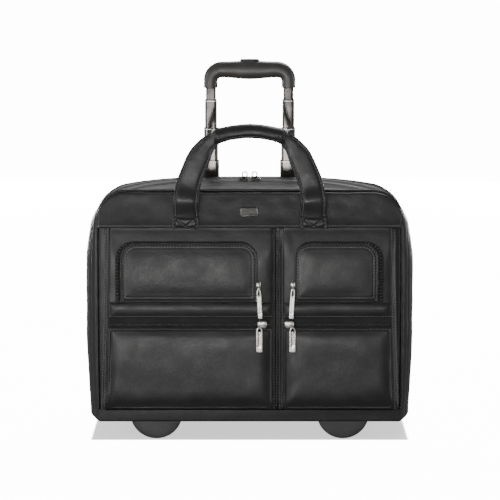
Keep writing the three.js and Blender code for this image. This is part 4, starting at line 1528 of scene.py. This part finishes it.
def strap(side):
    """One leather strap: sewn to the yoke at its foot, and narrowing to the grip at its top."""
    way = -1 if side == "left" else 1
    line = [Vector(((x - 2.4 * smooth((345 - z) / 45)) * way * MM, 0, z * MM)) for x, z in STRAP_LINE]
    path = [Vector((p.x, strap_depth(p.z), p.z)) for p in curve_through(line, 1.6 * MM)]
    count = len(path) - 1
    across = [-u for u in reversed(ACROSS)] + [0, *ACROSS]
    build, sewing = Build(), Build()
    rows = []
    seams = {-1: ([], []), 1: ([], [])}
    for i, (p, _, side_way, lift) in enumerate(frames_along(path, (0, -1, 0))):
        t = i / count
        width = (lerp(34.5, 28.5, t) - 10 * smooth((t - 0.72) / 0.28)) * MM
        front, back = [], []
        for u in across:
            edge = (1 - abs(u)) * width / 2
            roll = rolled(edge, 1.3 * MM)
            groove = 0.9 * MM * bell(edge - STRAP_SEAM, 0.9 * MM)
            crown = 0.7 * MM * (1 - u * u)
            front.append(p + side_way * (u * width / 2) + lift * (STRAP_THICK * 0.5 * roll + crown - groove))
            back.append(p + side_way * (u * width / 2) - lift * (STRAP_THICK * 0.5 * roll))
        rows.append(front + back[::-1])
        if p.z > STRAP_FOLD + 2 * MM and t < 0.93:
            for s in (-1, 1):
                out = side_way * (s * (width / 2 - STRAP_SEAM))
                seams[s][0].append(p + out + lift * (STRAP_THICK * 0.5 + 0.25 * MM))
                seams[s][1].append(lift)
    build.tube(rows)
    obj = build.object(f"carry_strap_{side}", 50)
    crumple(obj, 0.5 * MM, 20 * MM, 6.0 + way)
    placed(obj, None, "leather_strap", [f"strap_{side}", f"strap_anchor_{side}"])
    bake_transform(obj)
    for s in (-1, 1):
        sew_seam(sewing, *seams[s])
    thread_piece = sewing.piece(f"carry_strap_stitching_{side}", 60, None, "leather", "thread")
    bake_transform(thread_piece)
    sewn_end(side, way)


def sewn_end(side, way):
    """The strap's foot: a folded square of leather, quilted by the stitches that hold it down."""
    plane = Plane(280 * MM, -80.6 * MM, 298 * MM, -81.0 * MM)
    middle = 82.6 * MM * way
    low, high = YOKE_LOW + 0.2 * MM, STRAP_FOLD
    top, point = high - 2.6 * MM, low + 2.4 * MM

    def v_line(x, z):
        slope = (top - point) / (13 * MM)
        away = abs(abs(x - middle) * slope - (z - point)) / math.hypot(slope, 1)
        return -1.3 * MM * bell(away, 1.2 * MM) + 0.8 * MM

    patch = Patch(plane, (middle - 16.8 * MM, middle + 16.8 * MM), (low, high), 1 * MM, 1 * MM,
                  turned_edge(1.8 * MM, 1.2 * MM, 2.8 * MM, 0.5 * MM), v_line, 1.1 * MM)
    build, sewing = Build(), Build()
    patch.build(build, 3 * MM)
    build.piece(f"strap_end_{side}", 50, "front", "leather", "leather_strap")
    patch.sew(sewing, 2.8 * MM, ["left"])
    patch.sew(sewing, 2.8 * MM, ["right"])
    for s in (-1, 1):
        sew_line(sewing, patch, [Vector((middle + s * 13 * MM, 0, top)), Vector((middle, 0, point))])
    sewing.piece(f"strap_end_stitching_{side}", 60, "front", "leather", "thread")


def grip_path(count):
    """The grip's middle line, an arch between the two straps."""
    points = []
    for i in range(count + 1):
        t = i / count
        z = (1 - t) ** 2 * GRIP_LOW + 2 * t * (1 - t) * GRIP_CONTROL + t * t * GRIP_LOW
        points.append(Vector((lerp(-GRIP_REACH, GRIP_REACH, t), GRIP_Y, z)))
    return points


def carry_grip():
    """The stuffed leather grip: a tube with one sewn seam low on its front and puckers at its ends."""
    build, sewing = Build(), Build()
    path = grip_path(64)
    seam_turn = math.radians(-42)
    rows, seam, lifts = [], [], []
    for i, (p, _, side_way, lift) in enumerate(frames_along(path, (0, 0, 1))):
        t = i / 64
        end = min(t, 1 - t)
        radius = GRIP_RADIUS * (0.72 + 0.28 * smooth(end / 0.05))
        row = []
        for k in range(40):
            a = 2 * math.pi * k / 40
            away = (a - (seam_turn % (2 * math.pi)) + math.pi) % (2 * math.pi) - math.pi
            groove = 1.5 * MM * bell(away, 0.12)
            flap_step = 0.7 * MM * smooth(1 - abs(away - 0.35) / 0.35)
            pucker = 0.25 * MM * math.sin(a * 9 + 3 * math.sin(a)) * math.exp(-end / 0.05)
            r = radius - groove + flap_step + pucker
            row.append(p + lift * (r * math.sin(a)) - side_way * (-r * math.cos(a)))
        rows.append(row)
        if 0.08 < t < 0.92:
            out = lift * math.sin(seam_turn) + side_way * math.cos(seam_turn)
            seam.append(p + out * (GRIP_RADIUS - 0.2 * MM))
            lifts.append(out)
    build.tube(rows)
    obj = build.object("carry_grip", 60)
    crumple(obj, 0.45 * MM, 14 * MM, 8.0)
    placed(obj, "carry_handle", "leather_strap", ["carry_grip"])
    sew_seam(sewing, seam, lifts)
    sewing.piece("carry_grip_stitching", 60, "carry_handle", "leather", "thread")
    grip_wraps()


def grip_wraps():
    """The straps' ends wound round the grip: two overlapping turns of leather at each end."""
    build = Build()
    path = grip_path(92)
    frames = frames_along(path, (0, 0, 1))
    for first, last, radius, tilt in ((0, 4, 8.4, 0.25), (3, 9, 10.1, 0.12), (8, 12, 10.0, -0.1)):
        for mirrored in (False, True):
            rows = []
            steps = 10
            for k in range(steps + 1):
                t = k / steps
                place = lerp(first, last, t)
                index = round(92 - place if mirrored else place)
                p, along, side_way, lift = frames[index]
                p = p.lerp(frames[min(92, index + 1)][0], place % 1 if not mirrored else 0)
                swell = math.sin(math.pi * clamp(t, 0.02, 0.98)) ** 0.4
                r = (radius - 1.4) * MM + 1.4 * MM * swell
                row = []
                for j in range(36):
                    a = 2 * math.pi * j / 36
                    lean = along * (tilt * r * math.sin(a) * (-1 if mirrored else 1))
                    row.append(p + lean + lift * (r * math.sin(a)) + side_way * (r * math.cos(a)))
                rows.append(row)
            build.tube(rows)
    obj = build.object("carry_grip_wraps", 60)
    crumple(obj, 0.35 * MM, 9 * MM, 12.0)
    placed(obj, "carry_handle", "leather_strap")


# ---------------------------------------------------------------- zip sliders and pulls


def joint_place(name):
    """Where a joint's axis is."""
    joint = next(j for j in frame["joints"] if j["name"] == name)
    return Vector(joint.get("pos_m") or joint.get("origin_m") or (0, 0, 0))


def slider(name):
    """A die-cast slider: a rounded body, flared shoulders and a bridge that holds the pull."""
    low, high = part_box(f"slider_{name}")
    upright = high.z - low.z > high.x - low.x
    if upright:
        low = Vector((low.x + 1.6 * MM, low.y + 0.8 * MM, low.z + 0.5 * MM))
        high = Vector((high.x - 1.6 * MM, high.y, high.z - 1.5 * MM))
    plane = flat_front(low, high, low.y + 2.9 * MM)

    def dome(away):
        return 2.0 * MM * rolled(away, 3.2 * MM) - 0.2 * MM

    patch = Patch(plane, (low.x, high.x), (low.z, high.z), 3.9 * MM, 3.9 * MM, dome, None, 1.2 * MM)
    build = Build()
    patch.build(build, 1.6 * MM)
    middle = (low + high) / 2
    reach = 3.6 * MM
    bridge = []
    for k in range(13):
        a = math.pi * k / 12
        along = -math.cos(a) * reach
        spot = Vector((middle.x, low.y + 1.4 * MM - 1.3 * MM * math.sin(a), middle.z))
        spot += Vector((0, 0, along)) if upright else Vector((along, 0, 0))
        bridge.append(spot)
    side_way = (1, 0, 0) if upright else (0, 0, 1)
    rows = []
    for p, _, side, lift in frames_along(bridge, side_way):
        rows.append([p + side * u + lift * v for u, v in section(1.3 * MM, 2.8 * MM, 3, 12)])
    build.tube(rows)
    build.piece(f"slider_{name}_body", 40, f"{name}_slider", "nickel", "nickel", [f"slider_{name}"])


def turned_about(obj, pivot, angle):
    """Leans a piece in the front view about its pivot."""
    turn = Matrix.Translation(pivot) @ Matrix.Rotation(angle, 4, "Y") @ Matrix.Translation(-pivot)
    obj.data.transform(turn)
    return obj


def pull(name, lean):
    """A pull: a ring through the slider's bridge, a waist, and a grooved tab with a plain end."""
    low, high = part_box(f"pull_{name}")
    pivot = joint_place(f"{name}_pull_swing")
    middle = pivot.x
    depth = pivot.y + 0.2 * MM
    half = (4.1 if "lower" in name else 3.0) * MM
    plane = flat_front(low, high, depth)
    build = Build()
    top = pivot.z - (2.6 if "lower" in name else 6.6) * MM
    end = low.z + 0.1 * MM
    loop_top = pivot.z + 3.3 * MM
    loop = []
    for k in range(41):
        t = k / 40
        a = math.pi * (1 - t)
        sides = math.copysign(abs(math.cos(a)) ** 0.5, math.cos(a))
        rise = math.sin(a) ** 0.8
        loop.append(Vector((middle + (half - 1.0 * MM) * sides * lerp(1, 0.8, rise), pivot.y,
                            lerp(top - 0.6 * MM, loop_top - 0.9 * MM, rise))))
    cord(build, loop, 0.95 * MM, (0, -1, 0), 12)
    long = top - end

    def groove(x, z):
        slot_low, slot_high = end + long * 0.26, top - 1.2 * MM
        inside = min(z - slot_low, slot_high - z, 1.3 * MM - abs(x - middle))
        return -0.6 * MM * smooth(inside / (0.5 * MM) + 0.5)

    def edge(away):
        return 0.75 * MM * rolled(away, 0.8 * MM)

    patch = Patch(plane, (middle - half, middle + half), (end, top), 0.9 * MM, 0.9 * MM,
                  edge, groove, 0.55 * MM)
    patch.build(build, 0.9 * MM)
    obj = build.object(f"pull_{name}_tab", 40)
    turned_about(obj, pivot, lean)
    placed(obj, f"{name}_pull", "nickel", [f"pull_{name}"])


def main_slider(side):
    """A slider on the top zip, with a bridge for its ring."""
    node = f"slider_main_{side}"
    low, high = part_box(node)
    middle = (low + high) / 2
    flat = Plane(-4.5 * MM, 0, 4.5 * MM, 0)

    def dome(away):
        return 1.7 * MM * rolled(away, 3 * MM)

    half = (high.x - low.x) / 2
    patch = Patch(flat, (-half, half), (-4.5 * MM, 4.5 * MM), 3.5 * MM, 3.5 * MM, dome, None, 1.2 * MM)
    build = Build()
    patch.build(build, 1.5 * MM)
    rows = []
    turns = [math.pi * k / 12 for k in range(13)]
    arch = [Vector((-4 * MM * math.cos(a), -1.6 * MM - 1.5 * MM * math.sin(a), 0)) for a in turns]
    for p, _, side_way, lift in frames_along(arch, (0, 0, 1)):
        rows.append([p + side_way * u + lift * v for u, v in section(1.2 * MM, 3 * MM, 3, 12)])
    build.tube(rows)
    obj = build.object(f"slider_main_{side}_body", 40)
    obj.data.transform(Matrix.Translation(Vector((middle.x, middle.y, low.z + 1.5 * MM)))
                       @ Matrix.Rotation(math.radians(-90), 4, "X"))
    placed(obj, f"main_{side}_slider", "dark_nickel", [node])


def main_ring(side):
    """The thin wire ring that a slider on the top zip is pulled by, standing upright."""
    low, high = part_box(f"pull_main_{side}")
    ring = []
    pivot = joint_place(f"main_{side}_pull_swing")
    middle_x = (low.x + high.x) / 2
    half_wide, half_long, below = 3.3 * MM, 3.8 * MM, 1.2 * MM
    for k in range(32):
        a = 2 * math.pi * k / 32
        away = half_long - below + half_long * math.sin(a)
        ring.append(Vector((middle_x + half_wide * math.cos(a), pivot.y, pivot.z + away)))
    build = Build()
    cord(build, ring, 0.85 * MM, (0, 1, 0), 10, True)
    build.piece(f"pull_main_{side}_ring", 50, f"main_{side}_pull", "nickel", "dark_nickel",
                [f"pull_main_{side}"])


# ---------------------------------------------------------------- trolley


def bar_rows(low, high, radius, levels):
    """Level outlines of an upright bar with rounded corners, one for each (z, inset) pair."""
    corners = (
        (low[0], low[1], 1, 1, math.pi, 1.5 * math.pi),
        (high[0], low[1], -1, 1, 1.5 * math.pi, 2 * math.pi),
        (high[0], high[1], -1, -1, 0, math.pi / 2),
        (low[0], high[1], 1, -1, math.pi / 2, math.pi),
    )
    rows = []
    for z, inset in levels:
        points = []
        r = max(radius - inset, 0.3 * MM)
        for x, y, sx, sy, start, end in corners:
            points += arc(x + sx * (r + inset), y + sy * (r + inset), r, start, end, 8)
        rows.append([Vector((x, y, z)) for x, y in points])
    return rows


TUBE_WALL = 0.9 * MM
HIGHLIGHT_BAND_LOW, HIGHLIGHT_BAND_HIGH = 2.3 * MM, 1.3 * MM              # a band of brighter steel below a tube's top: painted highlight of its rim


def tube_stage(node, body, radius, highlight_band=True):
    """One hollow telescoping tube with softened ends and a band of brighter steel near its top, a painted
    highlight of its rim.
    """
    low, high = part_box(node)
    outside = [(low.z, 0.3 * MM), (low.z + 0.5 * MM, 0), (high.z - HIGHLIGHT_BAND_LOW, 0), (high.z - HIGHLIGHT_BAND_HIGH, 0),
               (high.z - 0.5 * MM, 0), (high.z, 0.35 * MM)]
    inside = [(high.z, 0.6 * MM), (high.z - 0.4 * MM, TUBE_WALL), (low.z, TUBE_WALL)]
    build = Build()
    ids = build.grid(bar_rows(low.xy, high.xy, radius, outside + inside), loop=True)
    around = len(ids[0])
    for k in range(around):
        m = (k + 1) % around
        build.faces.append((ids[-1][k], ids[-1][m], ids[0][m], ids[0][k]))
    obj = build.piece(f"{node}_skin", 30, body, "tube_metal", "tube_metal", [node])
    if not highlight_band:
        return
    # Painted highlight: the faces of the band below the top get the brighter steel.
    obj.data.materials.append(MATERIALS["steel"])
    for face in obj.data.polygons:
        if high.z - HIGHLIGHT_BAND_LOW < face.center.z < high.z - HIGHLIGHT_BAND_HIGH:
            face.material_index = 1


def trolley_grip():
    """The moulded grip: a thick bar with a full underside, rounded shoulders and a parting line."""
    low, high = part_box("trolley_grip")
    middle_y = (low.y + high.y) / 2
    depth = high.y - low.y
    half = (high.x - low.x) / 2
    top = high.z
    build = Build()
    leg_x = half - 9.6 * MM
    path, widths = [], []
    corner = 15 * MM
    bar_z = top - 11.6 * MM                      # the middle line of the bar across the top
    for k in range(9):
        path.append(Vector((-leg_x, middle_y, lerp(low.z, bar_z - corner, k / 8))))
        widths.append(19 * MM)
    for k in range(1, 10):
        a = math.pi - math.pi / 2 * k / 9
        path.append(Vector((-leg_x + corner + corner * math.cos(a), middle_y,
                            bar_z - corner + corner * math.sin(a))))
        widths.append(lerp(19, 21.5, k / 9) * MM)
    for k in range(1, 24):
        x = lerp(-leg_x + corner, leg_x - corner, k / 24)
        t = 1 - abs(x) / (leg_x - corner)
        path.append(Vector((x, middle_y, bar_z - 0.6 * MM * smooth(t))))
        widths.append(lerp(21.5, 25, smooth(t)) * MM)
    mirrored = [(Vector((-p.x, p.y, p.z)), w) for p, w in zip(path[17::-1], widths[17::-1])]
    path += [p for p, _ in mirrored]
    widths += [w for _, w in mirrored]
    ends = [path[0] + Vector((0, 0, 0.3 * MM)), path[0] + Vector((0, 0, 1.3 * MM))]
    far_ends = [Vector((-p.x, p.y, p.z)) for p in reversed(ends)]
    path = [path[0], *ends] + path[1:-1] + far_ends + [path[-1]]
    widths = [widths[0] - 2 * MM, widths[0] - 0.5 * MM] + [widths[0]] + widths[1:-1]
    widths += [widths[0] + 2 * MM, widths[0] + 1.5 * MM, widths[0]]
    rows = []
    for (p, _, side, lift), width in zip(frames_along(path, (0, -1, 0)), widths):
        row = []
        for u, v in section(width, depth, 2.7, 44):
            seam = 0.35 * MM * bell(v, 0.5 * MM)
            row.append(p + side * (u - math.copysign(seam, u)) + lift * v)
        rows.append(row)
    build.tube(rows)
    build.piece("trolley_grip_shell", 45, "trolley_a", "grip_plastic", "grip_plastic", ["trolley_grip"])


def release_button():
    """The oval button in the top of the grip, its edge rounded off."""
    low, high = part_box("release_button")
    build = Build()
    middle = (low + high) / 2
    rows = []
    wide, deep = high.x - low.x, high.y - low.y
    levels = ((low.z, 0.94), (high.z - 1.6 * MM, 1), (high.z - 0.9 * MM, 0.985),
              (high.z - 0.3 * MM, 0.94), (high.z, 0.86))
    oval = section(wide, deep, 3.4, 40)
    for z, share in levels:
        rows.append([Vector((middle.x + u * share, middle.y + v * share, z)) for u, v in oval])
    build.tube(rows)
    build.piece("release_button_cap", 40, "release", "moulded_plastic", "moulded", ["release_button"])


# ---------------------------------------------------------------- wheels and feet


def foot(side):
    """A moulded half-disc foot with softly rounded edges and a slightly domed face."""
    low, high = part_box(f"foot_{side}")
    middle = (low.x + high.x) / 2
    half = 34.4 * MM
    base_z = half                                # the disc's middle is one radius above the floor
    face = low.y - 3 * MM
    disc = arc(middle, base_z, half, 0, -math.pi, 48)
    points = [(x, z) for x, z in disc if z < high.z - 0.5 * MM]
    roof_z = high.z + 8 * MM                     # out of sight inside the base
    points = [(points[0][0] + 0.1 * MM, roof_z)] + points + [(points[-1][0] - 0.1 * MM, roof_z)]
    roof = [(x, roof_z) for x, _ in bowed(points[-1], points[0], (0, 0), 16)[1:-1]]
    profile = [(2.2 * MM, high.y), (0.6 * MM, high.y - 0.6 * MM), (0, high.y - 2 * MM),
               (0, face + 1.4 * MM), (0.4 * MM, face + 0.4 * MM), (1.4 * MM, face),
               (4 * MM, face - 0.3 * MM), (9 * MM, face - 0.5 * MM)]
    build = Build()
    rounds(build, with_normals(points + roof), profile)
    # The feet take the lighter copy of the plastic: painted light.
    build.piece(f"foot_{side}_shell", 40, "case", "moulded_plastic", "foot_plastic_painted_light", [f"foot_{side}"])


def turned_ring(build, middle, profiles):
    """Closed (x, radius) profiles set evenly round an axle."""
    rows = []
    for k, profile in enumerate(profiles):
        a = 2 * math.pi * k / len(profiles)
        rows.append([middle + Vector((x, r * math.cos(a), r * math.sin(a))) for x, r in profile])
    build.grid(rows, loop=True, ring=True)


def wheel(side):
    """A tyre with rounded shoulders and shallow tread, on a hub with five spokes."""
    low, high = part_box(f"tyre_{side}")
    middle = (low + high) / 2
    radius = (high.z - low.z) / 2
    half = (high.x - low.x) / 2
    hub_low, hub_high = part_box(f"hub_{side}")
    inner = (hub_high.z - hub_low.z) / 2
    build = Build()
    profiles = []
    for k in range(120):
        tread = 0.45 * MM if k % 5 == 0 else 0
        left = [(-half + 1 * MM, inner), (-half + 0.2 * MM, inner + 3 * MM), (-half, radius - 5 * MM),
                (-half + 1.4 * MM, radius - 2 * MM), (-half + 4 * MM, radius - 0.3 * MM - tread),
                (-1.5 * MM, radius - tread), (-0.6 * MM, radius - 0.9 * MM)]
        profiles.append(left + [(-x, r) for x, r in reversed(left)])
    turned_ring(build, middle, profiles)
    body = f"wheel_{side}"
    build.piece(f"tyre_{side}_tread", 40, body, "wheel_rubber", "rubber", [f"tyre_{side}"])
    hub = Build()
    wall = half - 1.2 * MM
    soft = 0.5 * MM
    for r0, r1 in ((inner - 3.4 * MM, inner + 0.1 * MM), (4.1 * MM, 8 * MM)):
        left = [(-wall, r0), (-wall, r1 - soft), (-wall + soft, r1)]
        turned_ring(hub, middle, [left + [(-x, r) for x, r in reversed(left)]] * 72)
    for k in range(5):
        a = 2 * math.pi * k / 5
        out = Vector((0, math.cos(a), math.sin(a)))
        across = Vector((0, -math.sin(a), math.cos(a)))
        rows = []
        for t in (0, 0.15, 0.5, 0.85, 1):
            r = lerp(7 * MM, inner - 2.6 * MM, t)
            wide = (4.6 + 3 * (2 * t - 1) ** 2) * MM
            spoke = section(wide, 2 * wall - 4 * MM, 4, 16)
            rows.append([middle + out * r + across * u + Vector((v, 0, 0)) for u, v in spoke])
        hub.tube(rows)
    hub.piece(f"hub_{side}_spokes", 40, body, "moulded_plastic", "moulded", [f"hub_{side}"])


# ---------------------------------------------------------------- main zip


def main_zip():
    """Two woven tapes that meet over the case's top and sides, with their interlocking coils."""
    middle = ZIP_LINE
    rows = (
        ("front", "front", "main_zip_front", ZIP_FRONT[0] - 0.4 * MM, middle - 0.9 * MM, -1),
        ("rear", "case", "main_zip_rear", middle + 0.9 * MM, ZIP_REAR[1] + 1.4 * MM, 1),
    )
    run = rim_above(SPLIT + 0.8 * MM)
    for name, body, node, low_y, high_y, way in rows:
        build = Build()
        tape = [(low_y, 1.7 * MM), (low_y + 1 * MM, 1.3 * MM), ((low_y + high_y) / 2, 1.15 * MM),
                (high_y - 1 * MM, 1.3 * MM), (high_y, 1.6 * MM), (high_y, 2.8 * MM), (low_y, 2.8 * MM)]
        band(build, run, tape)
        build.piece(f"main_zip_{name}_tape", 50, body, "zip_nylon", "zip_tape", [node])
        teeth, sewing = Build(), Build()
        spots, outs = [], []
        for place in run:
            spots.append(on_rim(place, 0.5 * MM, middle + way * 1.1 * MM))
            outs.append(Vector((place[1].x, 0, place[1].y)))
        even = resampled(spots, 2.6 * MM)
        even = [lerp_place(even, i, 0.25 * way) for i in range(1, len(even) - 1)]
        outs = spread(outs, len(even))
        for p, along, _, lift in frames_along(even, outs):
            coil_tooth(teeth, p, along, Vector((0, 1, 0)), lift)
        teeth.piece(f"main_zip_{name}_coil", 60, body, "zip_nylon", "coil")
        edge_y = ZIP_FRONT[0] - 3.4 * MM if way < 0 else ZIP_REAR[1] + 4.2 * MM
        spots = [on_rim(place, 0.15 * MM, edge_y) for place in run]
        sew_seam(sewing, spots, [Vector((n.x, 0, n.y)) for _, n in run], 3.6 * MM)
        sewing.piece(f"main_zip_{name}_stitching", 60, body, "leather", "thread")


def lerp_place(points, i, t):
    """A point t of a step before or after one of a row of points."""
    other = points[max(0, min(len(points) - 1, i + (1 if t > 0 else -1)))]
    return points[i].lerp(other, abs(t))


# ---------------------------------------------------------------- inside the case


QUILT = 34 * MM                                  # diagonal pitch of the sleeve's quilting


def laptop_sleeve():
    """A padded pocket against the back panel: quilted front, turned top edge and a closing tab."""
    low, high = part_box("laptop_sleeve")
    front_y, back_y = low.y + 1.6 * MM, high.y
    plane = flat_front(low, high, front_y)

    def quilting(x, z):
        u = (x - z) / QUILT
        w = (x + z) / QUILT
        near = min(abs(u - round(u)), abs(w - round(w))) * QUILT * 0.707
        return -1.3 * MM * bell(near, 2.4 * MM)

    build = Build()
    wall = 3.0 * MM
    top = high.z - 6 * MM
    front = Patch(plane, (low.x, high.x), (low.z, top), 9 * MM, 6 * MM,
                  turned_edge(1.4 * MM, 3 * MM, 5 * MM), quilting, 4.2 * MM)
    front.build(build, 3.2 * MM)
    rear = Patch(flat_front(low, high, back_y - 3.4 * MM), (low.x, high.x), (low.z, high.z),
                 9 * MM, 6 * MM, turned_edge(0.9 * MM, 3 * MM), None, 12 * MM)
    rear.build(build, 3.0 * MM)
    deep = (front_y, back_y - 1 * MM)
    for xs in ((low.x, low.x + wall), (high.x - wall, high.x)):
        build.block(xs, deep, (low.z + 4 * MM, top - 6 * MM))
    build.block((low.x + 5 * MM, high.x - 5 * MM), deep, (low.z + 0.5 * MM, low.z + 3.5 * MM))
    obj = build.piece("laptop_sleeve_pad", 50, "case", "lining", "lining", ["laptop_sleeve"])
    sewing = Build()
    front.sew(sewing, 5 * MM, ["left", "top", "right"])
    sewing.piece("laptop_sleeve_stitching", 60, "case", "lining", "thread")
    strap_build = Build()
    plane = flat_front(low, high, front_y - 1.2 * MM)
    tab = Patch(plane, (-19 * MM, 19 * MM), (top - 62 * MM, top + 2 * MM), 2 * MM, 6 * MM,
                turned_edge(1.6 * MM, 1.2 * MM, 3 * MM), None, 4 * MM)
    tab.build(strap_build, 1.6 * MM)
    strap_build.piece("sleeve_closing_tab", 50, "case", "leather", "leather_strap")


def organiser():
    """The panel of slip pockets inside the front: three gathered pockets with corded hems."""
    low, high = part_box("organiser_panel")
    face = high.y
    build, sewing = Build(), Build()
    panel = Patch(flat_front(low, high, low.y + 0.8 * MM), (low.x, high.x), (low.z, high.z),
                  10 * MM, 10 * MM, lambda _: 0.4 * MM, None, 14 * MM)
    panel.build(build, high.y - low.y)
    width = (high.x - low.x - 16 * MM) / 3
    for k, rise in enumerate((0.62, 0.5, 0.56)):
        x0 = low.x + 8 * MM + k * width
        top = lerp(low.z, high.z, rise)
        rows = []
        for i in range(19):
            z = lerp(low.z + 8 * MM, top, i / 18)
            row = []
            for j in range(17):
                t = j / 16
                belly = 5.5 * MM * math.sin(math.pi * t) ** 0.7 * (0.35 + 0.65 * smooth(i / 14))
                x = lerp(x0 + 1.5 * MM, x0 + width - 1.5 * MM, t)
                row.append(Vector((x, face + 0.2 * MM + belly, z)))
            rows.append(row)
        backs = [[p - Vector((0, 1.1 * MM, 0)) for p in row] for row in rows]
        build.slab(rows, backs)
        hem = [p + Vector((0, 0.2 * MM, 0)) for p in rows[-1]]
        cord(sewing, hem, 1.1 * MM, (0, 0, 1), 8)
    build.piece("organiser_pockets", 50, "front", "lining", "lining", ["organiser_panel"])
    sewing.piece("organiser_hems", 60, "front", "lining", "zip_tape")


def side_gusset(side):
    """Pleated cloth at the side that lets the front fall open and then holds it."""
    way = -1 if side == "left" else 1
    build = Build()
    rows = []
    front_y, back_y = -24 * MM, 26 * MM
    for i in range(25):
        z = lerp(SPLIT + 6 * MM, 235 * MM, i / 24)
        half = half_width(z, 9 * MM)
        row = []
        for k in range(25):
            t = k / 24
            fold = 5 * MM * abs(2 * ((t * 3) % 1) - 1)
            row.append(Vector((way * (half - fold), lerp(front_y, back_y, t), z)))
        rows.append(row)
    backs = [[p - Vector((way * 0.7 * MM, 0, 0)) for p in row] for row in rows]
    build.slab(rows, backs)
    obj = build.piece(f"side_gusset_{side}", 50, None, "lining", "lining")
    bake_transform(obj)


def rear_lining():
    """The lining of the rear half, with the lip that stands inside the opening."""
    build = Build()
    start = ZIP_REAR[1] + 2 * MM
    inset = SKIN + 2.0 * MM
    run = rim_above(WELL_TOP + 4 * MM)
    band(build, run, [(start, inset), (BACK - 5 * MM, inset), (BACK - 5 * MM, inset + 0.6 * MM),
                      (start, inset + 0.6 * MM)])
    lip = [(p, n) for p, n in RIM if BOTTOM + 7 * MM < p.y < SPLIT + 11 * MM]
    for s in (-1, 1):
        part = sorted([(p, n) for p, n in lip if p.x * s > 0], key=lambda place: place[0].y)
        band(build, part, [(FRONT + 3 * MM, 5.9 * MM), (8 * MM, 5.9 * MM), (8 * MM, 6.9 * MM),
                           (FRONT + 3 * MM, 6.9 * MM)])
    half = EDGE - 6 * MM
    build.block((-half, half), (FRONT + 4.2 * MM, FRONT + 5.2 * MM), (BOTTOM + 7 * MM, SPLIT + 11 * MM))
    build.piece("rear_lining", 50, "case", "lining", "lining")


# ---------------------------------------------------------------- hard parts that keep their solid's shape


def welded(node, name, material, body, bevel):
    """A hard part rebuilt from its CAD solid with welded faces, soft edges and smooth shading."""
    obj = copy_of(node, name)
    bevelled(obj, bevel)
    placed(obj, body, material, [node])


def hard_parts():
    """The housings, axles, base board, brackets and rods, which keep their solids' shapes."""
    for side in SIDES:
        welded(f"wheel_housing_{side}", f"wheel_well_{side}", "moulded", "case", 0.6 * MM)
        welded(f"axle_{side}", f"axle_pin_{side}", "steel", "case", 0.4 * MM)
    welded("base_plate", "base_board", "fibre_board", "case", 0.5 * MM)
    welded("lower_bracket", "trolley_foot_bracket", "moulded", "case", 0.8 * MM)
    welded("upper_bracket", "trolley_top_bracket", "moulded", "case", 0.8 * MM)
    welded("release_bar", "release_rods", "steel", "release", 0.3 * MM)


def trolley_cover():
    """The ballistic cloth channel over the tubes: a soft box with turned edges and a sewn border."""
    low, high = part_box("trolley_cover")
    plane = flat_front(low, high, 0)

    def rim(away):
        return (high.y - low.y) * rolled(away, 7 * MM) - 0.7 * MM * bell(away - 9 * MM, 1 * MM)

    def slack(x, z):
        return ripple((x, 0, z), 34 * MM, 1.1 * MM, 9.0) - 0.8 * MM

    patch = Patch(plane, (low.x, high.x), (low.z, high.z), 6 * MM, 10 * MM, rim, slack, 6 * MM)
    build, sewing = Build(), Build()
    patch.build(build, 0.4 * MM)
    patch.sew(sewing, 9 * MM, ["left", "top", "right", "low"])
    turn = facing_back(low.y)
    obj = build.object("trolley_channel", 50)
    obj.data.transform(turn)
    placed(obj, "case", "ballistic", ["trolley_cover"])
    thread_piece = sewing.object("trolley_channel_stitching", 60)
    thread_piece.data.transform(turn)
    placed(thread_piece, "case", "thread")


# ---------------------------------------------------------------- everything in order

camera()
studio()
floor()
front_gusset()
front_panel()
front_lining()
base_skin()
rear_skin()
back_panel()
piping()
skins = {}
for side, x_range in SIDES.items():
    shell = pocket_shell(side)
    skins[side] = Skin(shell, x_range, (POCKET_LOW, POCKET_HIGH))
    flared(shell, side)
    patches = pocket_front(side)
    straight_zip(side, patches)
    flap(side)
yoke()
badge()
for side in SIDES:
    strap(side)
carry_grip()
for name, lean in (("lower_left", 0), ("lower_right", 0), ("upper_left", -0.06), ("upper_right", 0.06)):
    slider(name)
    pull(name, lean)
for side in SIDES:
    main_slider(side)
    main_ring(side)
    foot(side)
    wheel(side)
    tube_stage(f"outer_tube_{side}", "case", 5 * MM)
    tube_stage(f"stage_c_tube_{side}", "trolley_c", 4.4 * MM)
    tube_stage(f"stage_b_tube_{side}", "trolley_b", 3.8 * MM)
    tube_stage(f"stage_a_tube_{side}", "trolley_a", 3 * MM, False)
trolley_grip()
release_button()
main_zip()
laptop_sleeve()
organiser()
for side in SIDES:
    side_gusset(side)
rear_lining()
hard_parts()
trolley_cover()
